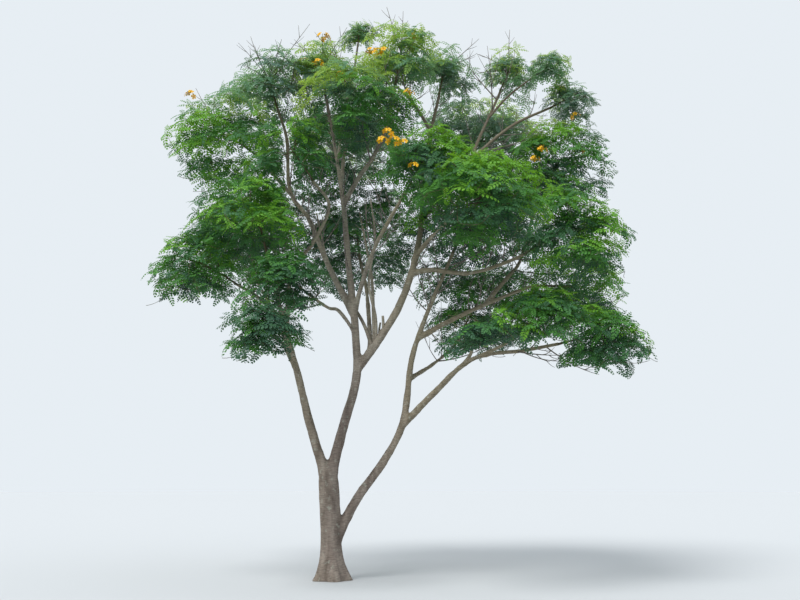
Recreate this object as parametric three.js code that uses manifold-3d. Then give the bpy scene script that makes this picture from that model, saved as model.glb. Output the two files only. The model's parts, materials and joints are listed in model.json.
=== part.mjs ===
// Yellow flame tree: three leaning stems from one short bole, long arching boughs
// and an open, umbrella-like crown of feathery leaf masses with a little blossom.
// Millimetres, +Z up. The origin is the middle of the flat cut at ground level, and
// the viewer stands on the -Y side.
import * as THREE from 'three';
import { mergeVertices } from 'three/addons/utils/BufferGeometryUtils.js';
import Module from 'manifold-3d';

const wasm = await Module();
wasm.setup();

// The bole: its height to the fork, its lean there, its radius at breast height and
// at the fork, and the root flare, whose soft lobes run on faintly up the shaft
const boleHeight = 1900;
const boleLean = new THREE.Vector2(-100, 10);
const boleLeanPower = 1.5;
const boleRadius = 176;
const boleForkRadius = 112;
const boleShoulder = 0.8;
const flareRadius = 320;
const flareHeight = 620;
const flareLobes = 5;
const flareLobeDepth = 0.13;
const shaftLobeShare = 0.25;
const boleSides = 16;
const boleRings = 10;
const boleRingCrowding = 1.5;

// Clearances: between a limb and what it is cut by, between a mass's stem and its
// bough's tip, between neighbouring masses, and between leaves and limbs
const cutAllowance = 0.42;
const seatGap = 0.3;
const spaceMargin = 12;
const limbClearance = 42;
const joinTolerance = 1;

// Limbs: the step between rings, how a limb thins, how far out in its mass's radius
// its tip may lie, and the number of flat sides by its radius where it starts
const ringStep = 560;
const fewestRings = 3;
const limbThinning = 1.15;
const massEntries = [0.74, 0.64, 0.54, 0.44, 0.34];
const entryMargin = 0.04;
const bendMargin = 0.08;
const limbSides = [[75, 8], [45, 6], [0, 5]];
const probePieces = 14;

// A mass's stem and twigs: radii, how far along the stem the twigs leave it, how far
// out in the mass's radius they reach, and how many there are by the mass's size
const stemRadius = 23;
const stemReach = 0.9;
const stemRise = 0.1;
const twigRadius = 19;
const twigTipRadius = 13;
const twigStart = [0.45, 0.98];
const twigReach = 0.42;
const twigStagger = 0.1;
const twigsPerMetre = 3.6;
const fewestTwigs = 3;
const twigProbes = [0.3, 0.5, 0.7, 0.85, 1];

// Leaves: each stands for a spray of feathery leaves. The sites are shares of the
// twig's length and the side that the leaf turns to; other sizes are shares of its length
const leafSites = [[0.55, -1], [0.82, 1], [1, 0]];
const leafLength = 900;
const leafShortest = 260;
const leafWidth = 0.62;
const leafThickness = 0.03;
const leafWaist = 0.52;
const leafArch = 0.07;
const leafFan = [0.8, 1.1];
const leafDroop = [-0.16, 0.04];
const leafRoll = 1.1;
const leafSink = 34;
const leafReach = 0.99;
const leafShrink = 0.86;
const leafProbeRows = 9;
const leafProbeShares = [-1, -0.5, 0, 0.5, 1];

// Blossom: a cluster of open flowers on a twig's end, on the upper twigs only. Bare
// twigs stand out of the crown
const blossomRadius = 125;
const blossomHeight = 0.6;
const blossomSeat = 0.3;
const blossomLowest = -0.2;
const bareTwigRadius = 15;
const bareTwigTipRadius = 7;

const barkColour = 0x8d8074;
const youngBarkColour = 0x8a8463;
const leafColour = 0x6f8a35;
const firstSeed = 100;

// Each mass of foliage: its middle, its radius level and upright, and its blossom
const masses = {
  crest_left: { at: [-400, 400, 9550], level: 860, upright: 820, blossom: 2 },
  left_front: { at: [-1190, -1400, 6000], level: 1150, upright: 950 },
  right_inner: { at: [2420, 20, 6450], level: 1400, upright: 1050 },
  crest_right: { at: [2020, 600, 9600], level: 700, upright: 800 },
  crest_far_left: { at: [-1420, 300, 9300], level: 980, upright: 860 },
  left_crown: { at: [-2100, -200, 7950], level: 1150, upright: 1050 },
  front_middle: { at: [1610, -1950, 6720], level: 1040, upright: 720, blossom: 3 },
  crest_middle: { at: [1180, -200, 9520], level: 880, upright: 860, blossom: 3 },
  low_middle: { at: [-620, -1800, 4800], level: 850, upright: 600 },
  crest_tuft: { at: [350, 300, 10260], level: 400, upright: 310 },
  back_crown: { at: [-60, 2300, 8900], level: 1450, upright: 1150 },
  back_middle: { at: [150, 2500, 6750], level: 1600, upright: 1350 },
  crown_centre: { at: [410, -900, 8250], level: 1230, upright: 950, blossom: 1 },
  right_front: { at: [4100, -900, 5850], level: 1130, upright: 1000 },
  high_right: { at: [4450, 600, 8950], level: 620, upright: 460, blossom: 1 },
  tall_right: { at: [3320, 900, 9720], level: 620, upright: 760 },
  spur_right: { at: [3980, 200, 9450], level: 520, upright: 420 },
  front_right: { at: [2550, -2550, 5920], level: 1130, upright: 850 },
  back_right: { at: [2900, 2300, 8800], level: 1450, upright: 1250 },
  left_inner: { at: [-730, -1000, 7330], level: 980, upright: 880 },
  far_left: { at: [-2250, -900, 5300], level: 1000, upright: 850 },
  left_back: { at: [-2150, 2200, 6900], level: 1350, upright: 1300 },
  left_low_front: { at: [-810, -2450, 3900], level: 780, upright: 560 },
  far_right_low: { at: [4450, -1100, 3950], level: 920, upright: 700 },
  right_low_inner: { at: [3400, -1900, 4150], level: 880, upright: 640 },
  right_mid: { at: [4450, 1000, 5250], level: 1080, upright: 1000 },
  right_high: { at: [4150, 700, 7600], level: 1150, upright: 1100, blossom: 2 },
  right_back_low: { at: [2700, 2500, 5300], level: 1350, upright: 1200 },
  front_low_right: { at: [2350, -2550, 3850], level: 780, upright: 560 },
};

// Each limb: what carries it, how far along that it leaves, the bends it passes,
// its radius at both ends, and the mass that it ends in. Carriers come first.
const limbs = {
  middle_stem: {
    on: 'bole', from: 0.84, thick: [98, 30], mass: 'crest_left',
    bends: [[150, 0, 2510], [380, 0, 3400], [350, 40, 4300], [210, 100, 5500], [70, 200, 6840]],
  },
  left_stem: {
    on: 'bole', from: 0.84, thick: [94, 34], mass: 'left_front',
    bends: [[-380, -50, 2480], [-640, -180, 3500], [-940, -380, 4600]],
  },
  right_stem: {
    on: 'bole', from: 0.27, thick: [92, 34], mass: 'right_inner',
    bends: [[420, 100, 1350], [860, 150, 1960], [1190, 160, 2600], [1400, 200, 3930]],
  },
  fork_bough: {
    on: 'middle_stem', from: 0.27, thick: [82, 30], mass: 'crest_right',
    bends: [[740, 0, 4040], [1180, 20, 4800], [1500, 120, 5950], [1620, 350, 7600]],
  },
  middle_left_bough: {
    on: 'middle_stem', from: 0.4, thick: [64, 26], mass: 'crest_far_left',
    bends: [[-160, 150, 5500], [-560, 220, 6430], [-920, 300, 6960], [-1040, 300, 8100]],
  },
  left_crown_bough: {
    on: 'middle_left_bough', from: 0.6, thick: [40, 24], mass: 'left_crown',
    bends: [[-1210, 100, 7250], [-1470, 0, 7570]],
  },
  middle_inner_bough: {
    on: 'middle_stem', from: 0.41, thick: [52, 26], mass: 'front_middle',
    bends: [[560, -240, 5320], [780, -680, 5700]],
  },
  crown_bough: {
    on: 'middle_stem', from: 0.69, thick: [54, 26], mass: 'crest_middle',
    bends: [[380, 100, 7190], [660, 0, 7560], [900, 0, 8150]],
  },
  low_middle_bough: {
    on: 'middle_stem', from: 0.36, thick: [38, 22], mass: 'low_middle',
    bends: [[90, -320, 4560], [-40, -800, 4520]],
  },
  crest_tuft_bough: {
    on: 'middle_stem', from: 0.81, thick: [32, 18], mass: 'crest_tuft',
    bends: [[110, 250, 8720], [260, 200, 9450]],
  },
  back_crown_bough: {
    on: 'middle_stem', from: 0.74, thick: [44, 26], mass: 'back_crown',
    bends: [[10, 900, 7900], [0, 1600, 8500]],
  },
  back_bough: {
    on: 'fork_bough', from: 0.07, thick: [52, 28], mass: 'back_middle',
    bends: [[560, 500, 4600], [450, 1200, 5350], [250, 2050, 6150]],
  },
  over_bough: {
    on: 'fork_bough', from: 0.86, thick: [34, 20], mass: 'crown_centre',
    bends: [[1420, 230, 8700], [1080, -60, 8930]],
  },
  level_bough: {
    on: 'fork_bough', from: 0.35, thick: [54, 26], mass: 'right_front',
    bends: [[1700, -120, 5340], [2400, -300, 5230], [3180, -500, 5430]],
  },
  high_right_bough: {
    on: 'fork_bough', from: 0.53, thick: [54, 24], mass: 'high_right',
    bends: [[1930, 400, 6940], [2440, 600, 7630], [3340, 700, 8450]],
  },
  tall_right_bough: {
    on: 'high_right_bough', from: 0.47, thick: [36, 22], mass: 'tall_right',
    bends: [[2680, 700, 8190], [2960, 800, 8830]],
  },
  spur_right_bough: {
    on: 'tall_right_bough', from: 0.62, thick: [26, 18], mass: 'spur_right',
    bends: [[3240, 680, 9030]],
  },
  front_right_bough: {
    on: 'fork_bough', from: 0.41, thick: [48, 26], mass: 'front_right',
    bends: [[1750, -800, 5780], [2100, -1700, 5850]],
  },
  back_right_bough: {
    on: 'fork_bough', from: 0.62, thick: [46, 26], mass: 'back_right',
    bends: [[1850, 1200, 7580], [2140, 2050, 8100]],
  },
  left_inner_bough: {
    on: 'left_stem', from: 0.66, thick: [46, 24], mass: 'left_inner',
    bends: [[-720, -480, 5240], [-330, -520, 5810], [-90, -560, 6450]],
  },
  left_low_bough: {
    on: 'left_stem', from: 0.7, thick: [42, 24], mass: 'far_left',
    bends: [[-1320, -580, 4780]],
  },
  left_back_bough: {
    on: 'left_stem', from: 0.55, thick: [54, 28], mass: 'left_back',
    bends: [[-1270, 600, 4800], [-1780, 1500, 5620]],
  },
  left_front_low_bough: {
    on: 'left_stem', from: 0.46, thick: [40, 22], mass: 'left_low_front',
    bends: [[-750, -1000, 3840]],
  },
  right_low_bough: {
    on: 'right_stem', from: 0.42, thick: [70, 26], mass: 'far_right_low',
    bends: [[1760, 0, 3150], [2430, -300, 3700], [3300, -600, 3800]],
  },
  right_low_inner_bough: {
    on: 'right_low_bough', from: 0.55, thick: [34, 22], mass: 'right_low_inner',
    bends: [[2960, -850, 3880]],
  },
  right_mid_bough: {
    on: 'right_stem', from: 0.7, thick: [60, 28], mass: 'right_mid',
    bends: [[1980, 300, 4450], [2900, 470, 4900], [3640, 620, 5200]],
  },
  right_high_bough: {
    on: 'right_mid_bough', from: 0.55, thick: [46, 26], mass: 'right_high',
    bends: [[3140, 600, 5350], [3400, 800, 5700], [3720, 1000, 6700]],
  },
  right_back_low_bough: {
    on: 'right_stem', from: 0.57, thick: [46, 26], mass: 'right_back_low',
    bends: [[1760, 1000, 3800], [2220, 1850, 4330]],
  },
  front_low_right_bough: {
    on: 'right_low_bough', from: 0.32, thick: [38, 22], mass: 'front_low_right',
    bends: [[2330, -900, 3640]],
  },
};

// Bare twigs that stand out of a mass, each from the mass's middle to its tip
const bareTwigs = {
  crest_left: [[-150, -80, 720]],
  crest_far_left: [[-260, 40, 790], [330, -60, 760]],
  crest_middle: [[-330, -40, 830], [60, 120, 800]],
  left_crown: [[-620, 60, 820]],
};

// A seeded random number from 0 to 1 on each call
function seededRandom(seed) {
  let state = seed >>> 0;
  return () => {
    state = (state + 0x6d2b79f5) >>> 0;
    let mixed = Math.imul(state ^ (state >>> 15), 1 | state);
    mixed = (mixed + Math.imul(mixed ^ (mixed >>> 7), 61 | mixed)) ^ mixed;
    return ((mixed ^ (mixed >>> 14)) >>> 0) / 4294967296;
  };
}

const upright = new THREE.Vector3(0, 0, 1);

// The value at a share of the way between two
function between([low, high], share) {
  return low + (high - low) * share;
}

// A closed geometry as a solid that can be joined and cut
function toSolid(geometry) {
  const bare = geometry.clone();
  bare.deleteAttribute('normal');
  bare.deleteAttribute('uv');
  const merged = mergeVertices(bare, 1e-3);
  return new wasm.Manifold(new wasm.Mesh({
    numProp: 3,
    vertProperties: new Float32Array(merged.attributes.position.array),
    triVerts: new Uint32Array(merged.index.array),
  }));
}

// A solid as a flat-shaded geometry
function toGeometry(solid) {
  const mesh = solid.getMesh();
  const geometry = new THREE.BufferGeometry();
  geometry.setAttribute('position', new THREE.BufferAttribute(mesh.vertProperties, 3));
  geometry.setIndex(new THREE.BufferAttribute(mesh.triVerts, 1));
  const flat = geometry.toNonIndexed();
  flat.computeVertexNormals();
  return flat;
}

// The largest body of a solid: loose scraps are dropped and sealed hollows filled
function largestBody(solid) {
  const bodies = solid.decompose();
  return bodies.reduce((best, body) => (body.volume() > best.volume() ? body : best));
}

// A cylinder of unit radius whose vertices are moved by a rule from the share of
// its length, and the place on its round section, to a point
function shapedCylinder(sides, rings, place) {
  const cylinder = new THREE.CylinderGeometry(1, 1, 1, sides, rings);
  const points = cylinder.attributes.position;
  for (let i = 0; i < points.count; i += 1) {
    const point = place(points.getY(i) + 0.5, points.getX(i), points.getZ(i));
    points.setXYZ(i, point.x, point.y, point.z);
  }
  return toSolid(cylinder);
}

// The bole's middle at a height: it leaves the ground upright and leans on the way
function boleMiddle(height) {
  const lean = (height / boleHeight) ** boleLeanPower;
  return new THREE.Vector3(boleLean.x * lean, boleLean.y * lean, height);
}

// The bole's radius: root flare in soft lobes at the foot, drawn in at the fork
function boleRadiusAt(height, angle) {
  const flare = Math.max(0, 1 - height / flareHeight) ** 2;
  const lobeShare = shaftLobeShare + (1 - shaftLobeShare) * flare;
  const lobe = 1 + flareLobeDepth * Math.cos(flareLobes * angle) * lobeShare;
  const drawnIn = Math.max(0, height / boleHeight - boleShoulder) / (1 - boleShoulder);
  const shaft = boleRadius + (boleForkRadius - boleRadius) * drawnIn ** 2;
  return (shaft + (flareRadius - boleRadius) * flare) * lobe;
}

// The bole's solid, its rings closer together over the root flare
function boleSolid(allowance) {
  return shapedCylinder(boleSides, boleRings, (share, x, z) => {
    const height = boleHeight * share ** boleRingCrowding;
    const angle = Math.atan2(-z, x);
    const radius = boleRadiusAt(height, angle) + allowance;
    const middle = boleMiddle(height);
    const offset = Math.hypot(x, z) * radius;
    return new THREE.Vector3(
      middle.x + offset * Math.cos(angle),
      middle.y + offset * Math.sin(angle),
      share === 0 ? -allowance : height + (share === 1 ? allowance : 0),
    );
  });
}

// A tapering tube of flat sides along a curve
function taperedTube(curve, radiusAt, sides, rings) {
  const frames = curve.computeFrenetFrames(rings, false);
  return shapedCylinder(sides, rings, (share, x, z) => {
    const ring = Math.round(share * rings);
    const radius = radiusAt(share);
    return curve.getPointAt(share)
      .addScaledVector(frames.normals[ring], x * radius)
      .addScaledVector(frames.binormals[ring], -z * radius);
  });
}

// Where a mass's ellipsoid lies in a direction from its middle
function massReach(mass, direction) {
  const level = Math.hypot(direction.x, direction.y) / mass.level;
  return 1 / Math.hypot(level, direction.z / mass.upright);
}

// The flat sides between a mass and its neighbours: each keeps to its own side
function spaceSides(name) {
  const own = masses[name];
  const middle = new THREE.Vector3(...own.at);
  const sides = [];
  for (const [otherName, other] of Object.entries(masses)) {
    if (otherName === name) {
      continue;
    }
    const across = new THREE.Vector3(...other.at).sub(middle);
    const apart = across.length();
    const direction = across.normalize();
    const ownReach = massReach(own, direction);
    const otherReach = massReach(other, direction);
    const share = ownReach / (ownReach + otherReach);
    sides.push({ direction, limit: apart * share - spaceMargin });
  }
  return sides;
}

// A mass's space: a test of whether a point lies in it
function massSpace(name) {
  const mass = masses[name];
  const middle = new THREE.Vector3(...mass.at);
  const sides = spaceSides(name);
  const onOwnSide = (offset) => sides.every((side) => offset.dot(side.direction) < side.limit);
  return {
    middle,
    onOwnSide: (point) => onOwnSide(point.clone().sub(middle)),
    holds: (point) => {
      const offset = point.clone().sub(middle);
      const share = Math.hypot(offset.x / mass.level, offset.y / mass.level, offset.z / mass.upright);
      return share < 1 && onOwnSide(offset);
    },
    // How far a ray from a point runs before it leaves the ellipsoid
    runFrom: (point, direction) => {
      const scale = new THREE.Vector3(1 / mass.level, 1 / mass.level, 1 / mass.upright);
      const start = point.clone().sub(middle).multiply(scale);
      const step = direction.clone().multiply(scale);
      const a = step.dot(step);
      const b = start.dot(step);
      const c = start.dot(start) - 1;
      return (-b + Math.sqrt(Math.max(0, b * b - a * c))) / a;
    },
  };
}

// Where a limb ends: just inside its mass, or further in, to reach the mass's own side
// and to lie beyond the limb's last bend
function limbTip(limb) {
  const space = massSpace(limb.mass);
  const outward = new THREE.Vector3(...limb.bends.at(-1)).sub(space.middle);
  const bendAway = outward.length();
  outward.normalize();
  const reach = massReach(masses[limb.mass], outward);
  const tipAt = (share) => space.middle.clone().addScaledVector(outward, share * reach);
  return tipAt(massEntries.find((share) => (
    share < bendAway / reach - bendMargin && space.onOwnSide(tipAt(share + entryMargin))
  )));
}

// A limb's middle line, from inside what carries it
function limbCurve(limb, carrier) {
  const bends = limb.bends.map((bend) => new THREE.Vector3(...bend));
  return new THREE.CatmullRomCurve3(
    [carrier.pointAt(limb.from), ...bends, limbTip(limb)],
    false,
    'centripetal',
  );
}

// A limb's radius along it: it thins quickly at first and evenly after
function limbRadius(limb, share) {
  const [thick, thin] = limb.thick;
  return thin + (thick - thin) * (1 - share) ** limbThinning;
}

// Every limb as its middle line, its radius and its solid, cut clear of the others
function growLimbs() {
  const grown = {
    bole: {
      pointAt: (share) => boleMiddle(boleHeight * share),
      radiusAt: () => boleRadius,
      solid: boleSolid(0),
      cutter: boleSolid(cutAllowance),
    },
  };
  for (const [name, limb] of Object.entries(limbs)) {
    const curve = limbCurve(limb, grown[limb.on]);
    const rings = Math.max(fewestRings, Math.round(curve.getLength() / ringStep));
    const [, sides] = limbSides.find(([radius]) => limb.thick[0] > radius);
    const radiusAt = (share) => limbRadius(limb, share);
    let solid = taperedTube(curve, radiusAt, sides, rings);
    for (const other of Object.values(grown)) {
      solid = solid.subtract(other.cutter);
    }
    grown[name] = {
      curve,
      radiusAt,
      pointAt: (share) => curve.getPointAt(share),
      solid: largestBody(solid),
      cutter: taperedTube(curve, (share) => radiusAt(share) + cutAllowance, sides, rings),
    };
  }
  return grown;
}

// Short straight pieces of every limb, for keeping twigs and leaves off them
function limbPieces(grown) {
  const pieces = [];
  for (const limb of Object.values(grown)) {
    for (let i = 0; i < probePieces; i += 1) {
      const share = i / probePieces;
      const line = new THREE.Line3(limb.pointAt(share), limb.pointAt(share + 1 / probePieces));
      pieces.push({ line, radius: limb.radiusAt(share) });
    }
  }
  return pieces;
}

// Evenly spread directions round a sphere
function spreadDirection(index, count, turn) {
  const height = 1 - (2 * (index + 0.5)) / count;
  const ring = Math.sqrt(1 - height * height);
  const angle = Math.PI * (3 - Math.sqrt(5)) * index + turn;
  return new THREE.Vector3(ring * Math.cos(angle), ring * Math.sin(angle), height);
}

// A three-sided twig between two points
function twigSolid(start, end, thick, thin) {
  const line = new THREE.LineCurve3(start, end);
  return taperedTube(line, (share) => thick + (thin - thick) * share, 3, 1);
}

// A leaf: eight flat faces, widest at its waist and a little arched
function leafSolid(root, direction, side, length) {
  const up = new THREE.Vector3().crossVectors(direction, side);
  const leaf = new THREE.OctahedronGeometry(1, 0);
  const points = leaf.attributes.position;
  for (let i = 0; i < points.count; i += 1) {
    const along = points.getX(i);
    const atWaist = 1 - Math.abs(along);
    const reach = atWaist > 0.5 ? leafWaist : (along + 1) / 2;
    const point = root.clone()
      .addScaledVector(direction, reach * length)
      .addScaledVector(side, (points.getY(i) * leafWidth * length) / 2)
      .addScaledVector(up, (points.getZ(i) * leafThickness * length) / 2 + atWaist * leafArch * length);
    points.setXYZ(i, point.x, point.y, point.z);
  }
  return toSolid(leaf);
}

// Points over a leaf's face, close enough together to feel a limb
function leafProbes(root, direction, side, length) {
  const up = new THREE.Vector3().crossVectors(direction, side);
  const probes = [];
  for (let i = 1; i <= leafProbeRows; i += 1) {
    const along = i / leafProbeRows;
    const breadth = Math.min(along / leafWaist, (1 - along) / (1 - leafWaist));
    for (const across of leafProbeShares) {
      probes.push(root.clone()
        .addScaledVector(direction, along * length)
        .addScaledVector(side, (across * breadth * leafWidth * length) / 2)
        .addScaledVector(up, breadth * leafArch * length));
    }
  }
  return probes;
}

// Whether a point lies well off every limb
function clearOfLimbs(point, pieces) {
  const nearest = new THREE.Vector3();
  return pieces.every(({ line, radius }) => {
    line.closestPointToPoint(point, true, nearest);
    return nearest.distanceTo(point) > radius + limbClearance;
  });
}

// The leaves along a twig: fanned out, shortened to the mass's space, or skipped
function leavesOn(start, end, space, pieces, random) {
  const leaves = [];
  const outward = end.clone().sub(start).normalize();
  const fanAxis = new THREE.Vector3(-outward.y, outward.x, 0.02).normalize().cross(outward);
  for (const [share, fan] of leafSites) {
    const root = start.clone().lerp(end, share);
    if (fan === 0) {
      root.addScaledVector(outward, -leafSink);
    }
    const direction = outward.clone()
      .applyAxisAngle(fanAxis, fan * between(leafFan, random()))
      .addScaledVector(upright, between(leafDroop, random()))
      .normalize();
    const side = new THREE.Vector3().crossVectors(upright, direction).normalize();
    side.applyAxisAngle(direction, between([-leafRoll, leafRoll], random()));
    let length = Math.min(leafLength, leafReach * space.runFrom(root, direction));
    while (length > leafShortest) {
      const probes = leafProbes(root, direction, side, length);
      if (probes.every((probe) => space.holds(probe) && clearOfLimbs(probe, pieces))) {
        leaves.push(leafSolid(root, direction, side, length));
        break;
      }
      length *= leafShrink;
    }
  }
  return leaves;
}

// A cluster of blossom on a twig's end
function blossomSolid(end, outward) {
  const cluster = new THREE.OctahedronGeometry(blossomRadius, 0);
  cluster.scale(1, 1, blossomHeight);
  const middle = end.clone().addScaledVector(outward, blossomRadius * blossomSeat);
  cluster.translate(middle.x, middle.y, middle.z);
  return toSolid(cluster);
}

// One mass: a stem from its bough's tip, twigs spread round it, leaves on their ends
function growMass(name, limb, pieces, seed) {
  const random = seededRandom(seed);
  const mass = masses[name];
  const space = massSpace(name);
  const tip = limb.pointAt(1);
  const heading = limb.curve.getTangentAt(1);
  const stemStart = tip.clone().addScaledVector(heading, seatGap);
  const stemEnd = stemStart.clone()
    .lerp(space.middle, stemReach)
    .addScaledVector(heading, stemRise * mass.upright);
  const parts = [twigSolid(stemStart, stemEnd, Math.min(stemRadius, limb.radiusAt(1)), twigRadius)];
  const meanRadius = (mass.level * 2 + mass.upright) / 3;
  const count = Math.max(fewestTwigs, Math.round((meanRadius / 1000) * twigsPerMetre));
  let blossomLeft = mass.blossom ?? 0;
  const turn = random() * 2 * Math.PI;
  for (let i = 0; i < count; i += 1) {
    const direction = spreadDirection(i, count, turn);
    const start = stemStart.clone().lerp(stemEnd, between(twigStart, random()));
    const reach = massReach(mass, direction) * (twigReach + twigStagger * (random() - 0.5));
    const end = space.middle.clone().addScaledVector(direction, reach);
    const probes = twigProbes.map((share) => start.clone().lerp(end, share));
    if (!probes.every((probe) => space.holds(probe) && clearOfLimbs(probe, pieces))) {
      continue;
    }
    const outward = end.clone().sub(start).normalize();
    parts.push(twigSolid(start, end, twigRadius, twigTipRadius));
    parts.push(...leavesOn(start, end, space, pieces, random));
    if (blossomLeft > 0 && direction.z > blossomLowest) {
      parts.push(blossomSolid(end, outward));
      blossomLeft -= 1;
    }
  }
  for (const offset of bareTwigs[name] ?? []) {
    const bareTip = space.middle.clone().add(new THREE.Vector3(...offset));
    if (space.onOwnSide(bareTip)) {
      parts.push(twigSolid(stemEnd, bareTip, bareTwigRadius, bareTwigTipRadius));
    }
  }
  return largestBody(wasm.Manifold.union(parts).simplify(joinTolerance));
}

const bark = { color: barkColour, roughness: 0.92, metalness: 0 };
const youngBark = { color: youngBarkColour, roughness: 0.88, metalness: 0 };
const leaf = { color: leafColour, roughness: 0.6, metalness: 0 };

function addMesh(group, name, solid, look) {
  const mesh = new THREE.Mesh(toGeometry(solid), new THREE.MeshStandardMaterial(look));
  mesh.name = name;
  group.add(mesh);
}

function buildTree() {
  const tree = new THREE.Group();
  const grown = growLimbs();
  const pieces = limbPieces(grown);
  addMesh(tree, 'bole', grown.bole.solid, bark);
  Object.entries(limbs).forEach(([name, limb], index) => {
    addMesh(tree, name, grown[name].solid, name.endsWith('stem') ? bark : youngBark);
    const foliage = growMass(limb.mass, grown[name], pieces, firstSeed + index);
    addMesh(tree, limb.mass + '_foliage', foliage, leaf);
  });
  return tree;
}

export default buildTree();
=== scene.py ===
# Yellow flame tree. One bark mesh covers the bole, the stems and the boughs. The masses'
# stems and twigs grow by the same rule as the solids. Finer twigs leave them for pads of
# rosettes, and each rosette holds feathery leaves. Metres, +Z up, seen from the -Y side.
import json
import math

import bmesh
import bpy
import numpy as np
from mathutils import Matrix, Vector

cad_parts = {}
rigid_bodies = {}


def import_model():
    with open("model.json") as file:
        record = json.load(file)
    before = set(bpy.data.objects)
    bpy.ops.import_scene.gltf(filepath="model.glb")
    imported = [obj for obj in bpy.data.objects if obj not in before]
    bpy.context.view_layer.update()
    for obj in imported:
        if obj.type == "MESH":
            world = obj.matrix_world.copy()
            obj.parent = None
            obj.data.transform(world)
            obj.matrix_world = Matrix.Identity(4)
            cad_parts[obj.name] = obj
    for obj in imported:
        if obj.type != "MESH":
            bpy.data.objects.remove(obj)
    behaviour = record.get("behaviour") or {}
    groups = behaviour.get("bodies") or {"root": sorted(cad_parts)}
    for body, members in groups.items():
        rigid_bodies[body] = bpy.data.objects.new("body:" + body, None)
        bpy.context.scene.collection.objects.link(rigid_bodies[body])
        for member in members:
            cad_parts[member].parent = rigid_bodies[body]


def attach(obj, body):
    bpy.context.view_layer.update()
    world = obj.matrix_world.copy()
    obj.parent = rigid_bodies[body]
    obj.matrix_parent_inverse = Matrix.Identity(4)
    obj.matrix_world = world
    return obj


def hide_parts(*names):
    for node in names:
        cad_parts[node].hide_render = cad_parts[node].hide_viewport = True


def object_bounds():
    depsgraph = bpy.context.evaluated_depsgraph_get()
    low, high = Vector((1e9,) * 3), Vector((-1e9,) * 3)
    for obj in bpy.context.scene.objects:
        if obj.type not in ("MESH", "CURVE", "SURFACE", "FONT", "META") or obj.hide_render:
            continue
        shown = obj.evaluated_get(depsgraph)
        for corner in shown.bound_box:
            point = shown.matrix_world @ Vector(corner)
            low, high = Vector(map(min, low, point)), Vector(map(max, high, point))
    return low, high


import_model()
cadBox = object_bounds()
print("frame loaded")

goldenTurn = 2.39996  # from one leaf, rosette or flower to the next round an axis


def seededRandom(seed):
    state = seed

    def draw():
        nonlocal state
        state = (state + 0x6D2B79F5) & 0xFFFFFFFF
        mixed = ((state ^ (state >> 15)) * (1 | state)) & 0xFFFFFFFF
        mixed = ((mixed + (mixed ^ (mixed >> 7)) * (61 | mixed)) & 0xFFFFFFFF) ^ mixed
        return (mixed ^ (mixed >> 14)) / 4294967296

    return draw


def between(ends, share):
    return ends[0] + (ends[1] - ends[0]) * share


def fromLeast(pair, share):  # from a least value, by a share of the span above it
    return pair[0] + pair[1] * share


def spoke(angle, height=0.0):  # outwards round the Z axis
    return np.array([math.cos(angle), math.sin(angle), height])


def unit(vector):
    return np.asarray(vector, float) / np.linalg.norm(vector)


def turned(vector, axis, angle):  # a vector turned about an axis
    along = axis * np.dot(axis, vector)
    return along + (vector - along) * math.cos(angle) + np.cross(axis, vector) * math.sin(angle)


def readRows(share, marks, rows):  # the row of numbers at a share, from those at the marks
    return np.array([np.interp(share, marks, rows[:, k]) for k in range(rows.shape[1])])


def bentTwig(start, end, bow, pieces, radii):  # a curve that bows from its middle, and its radii
    control = (start + end) / 2 + bow
    shares = np.linspace(0, 1, pieces + 1)[:, None]
    points = (1 - shares) ** 2 * start + 2 * shares * (1 - shares) * control + shares ** 2 * end
    return points, np.linspace(*radii, pieces + 1)


def smoothCurve(points, pieces=200):  # a curve through the points, read by the share of its length
    points = np.array(points, float)
    padded = np.vstack([2 * points[0] - points[1], points, 2 * points[-1] - points[-2]])
    spans = len(points) - 1

    def raw(place):
        first = min(int(place * spans), spans - 1)
        w = place * spans - first
        a, b, c, d = padded[first:first + 4]
        ab, bc, cd = (np.sum((q - p) ** 2) ** 0.25 for p, q in ((a, b), (b, c), (c, d)))
        leave = ((b - a) / ab - (c - a) / (ab + bc) + (c - b) / bc) * bc
        arrive = ((c - b) / bc - (d - b) / (bc + cd) + (d - c) / cd) * bc
        square, cube = 3 * (c - b) - 2 * leave - arrive, 2 * (b - c) + leave + arrive
        return b + leave * w + square * w ** 2 + cube * w ** 3

    marks = np.array([raw(i / pieces) for i in range(pieces + 1)])
    run = np.concatenate([[0], np.cumsum(np.linalg.norm(np.diff(marks, axis=0), axis=1))])
    return {
        "at": lambda share: raw(np.interp(share * run[-1], run, np.linspace(0, 1, pieces + 1))),
        "length": run[-1],
        "heading": unit(raw(1.0) - raw(0.9999)),
    }


def placesOn(curve, shares):
    return np.array([curve["at"](share) for share in shares])


# The bole, as in the solids
bole = {
    "height": 1.9, "lean": (-0.1, 0.01), "leanPower": 1.5,
    "radius": 0.176, "forkRadius": 0.112, "shoulder": 0.8,
    "flareRadius": 0.32, "flareHeight": 0.62,
    "lobes": 5, "lobeDepth": 0.13, "shaftLobes": 0.25,
}


def boleMiddle(height):
    lean = (height / bole["height"]) ** bole["leanPower"]
    return np.array([bole["lean"][0] * lean, bole["lean"][1] * lean, height])


def boleRadius(height, angle):
    flare = max(0, 1 - height / bole["flareHeight"]) ** 2
    lobe = 1 + bole["lobeDepth"] * math.cos(bole["lobes"] * angle) * between((bole["shaftLobes"], 1), flare)
    drawnIn = max(0, height / bole["height"] - bole["shoulder"]) / (1 - bole["shoulder"])
    shaft = bole["radius"] + (bole["forkRadius"] - bole["radius"]) * drawnIn ** 2
    return (shaft + (bole["flareRadius"] - bole["radius"]) * flare) * lobe


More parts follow.
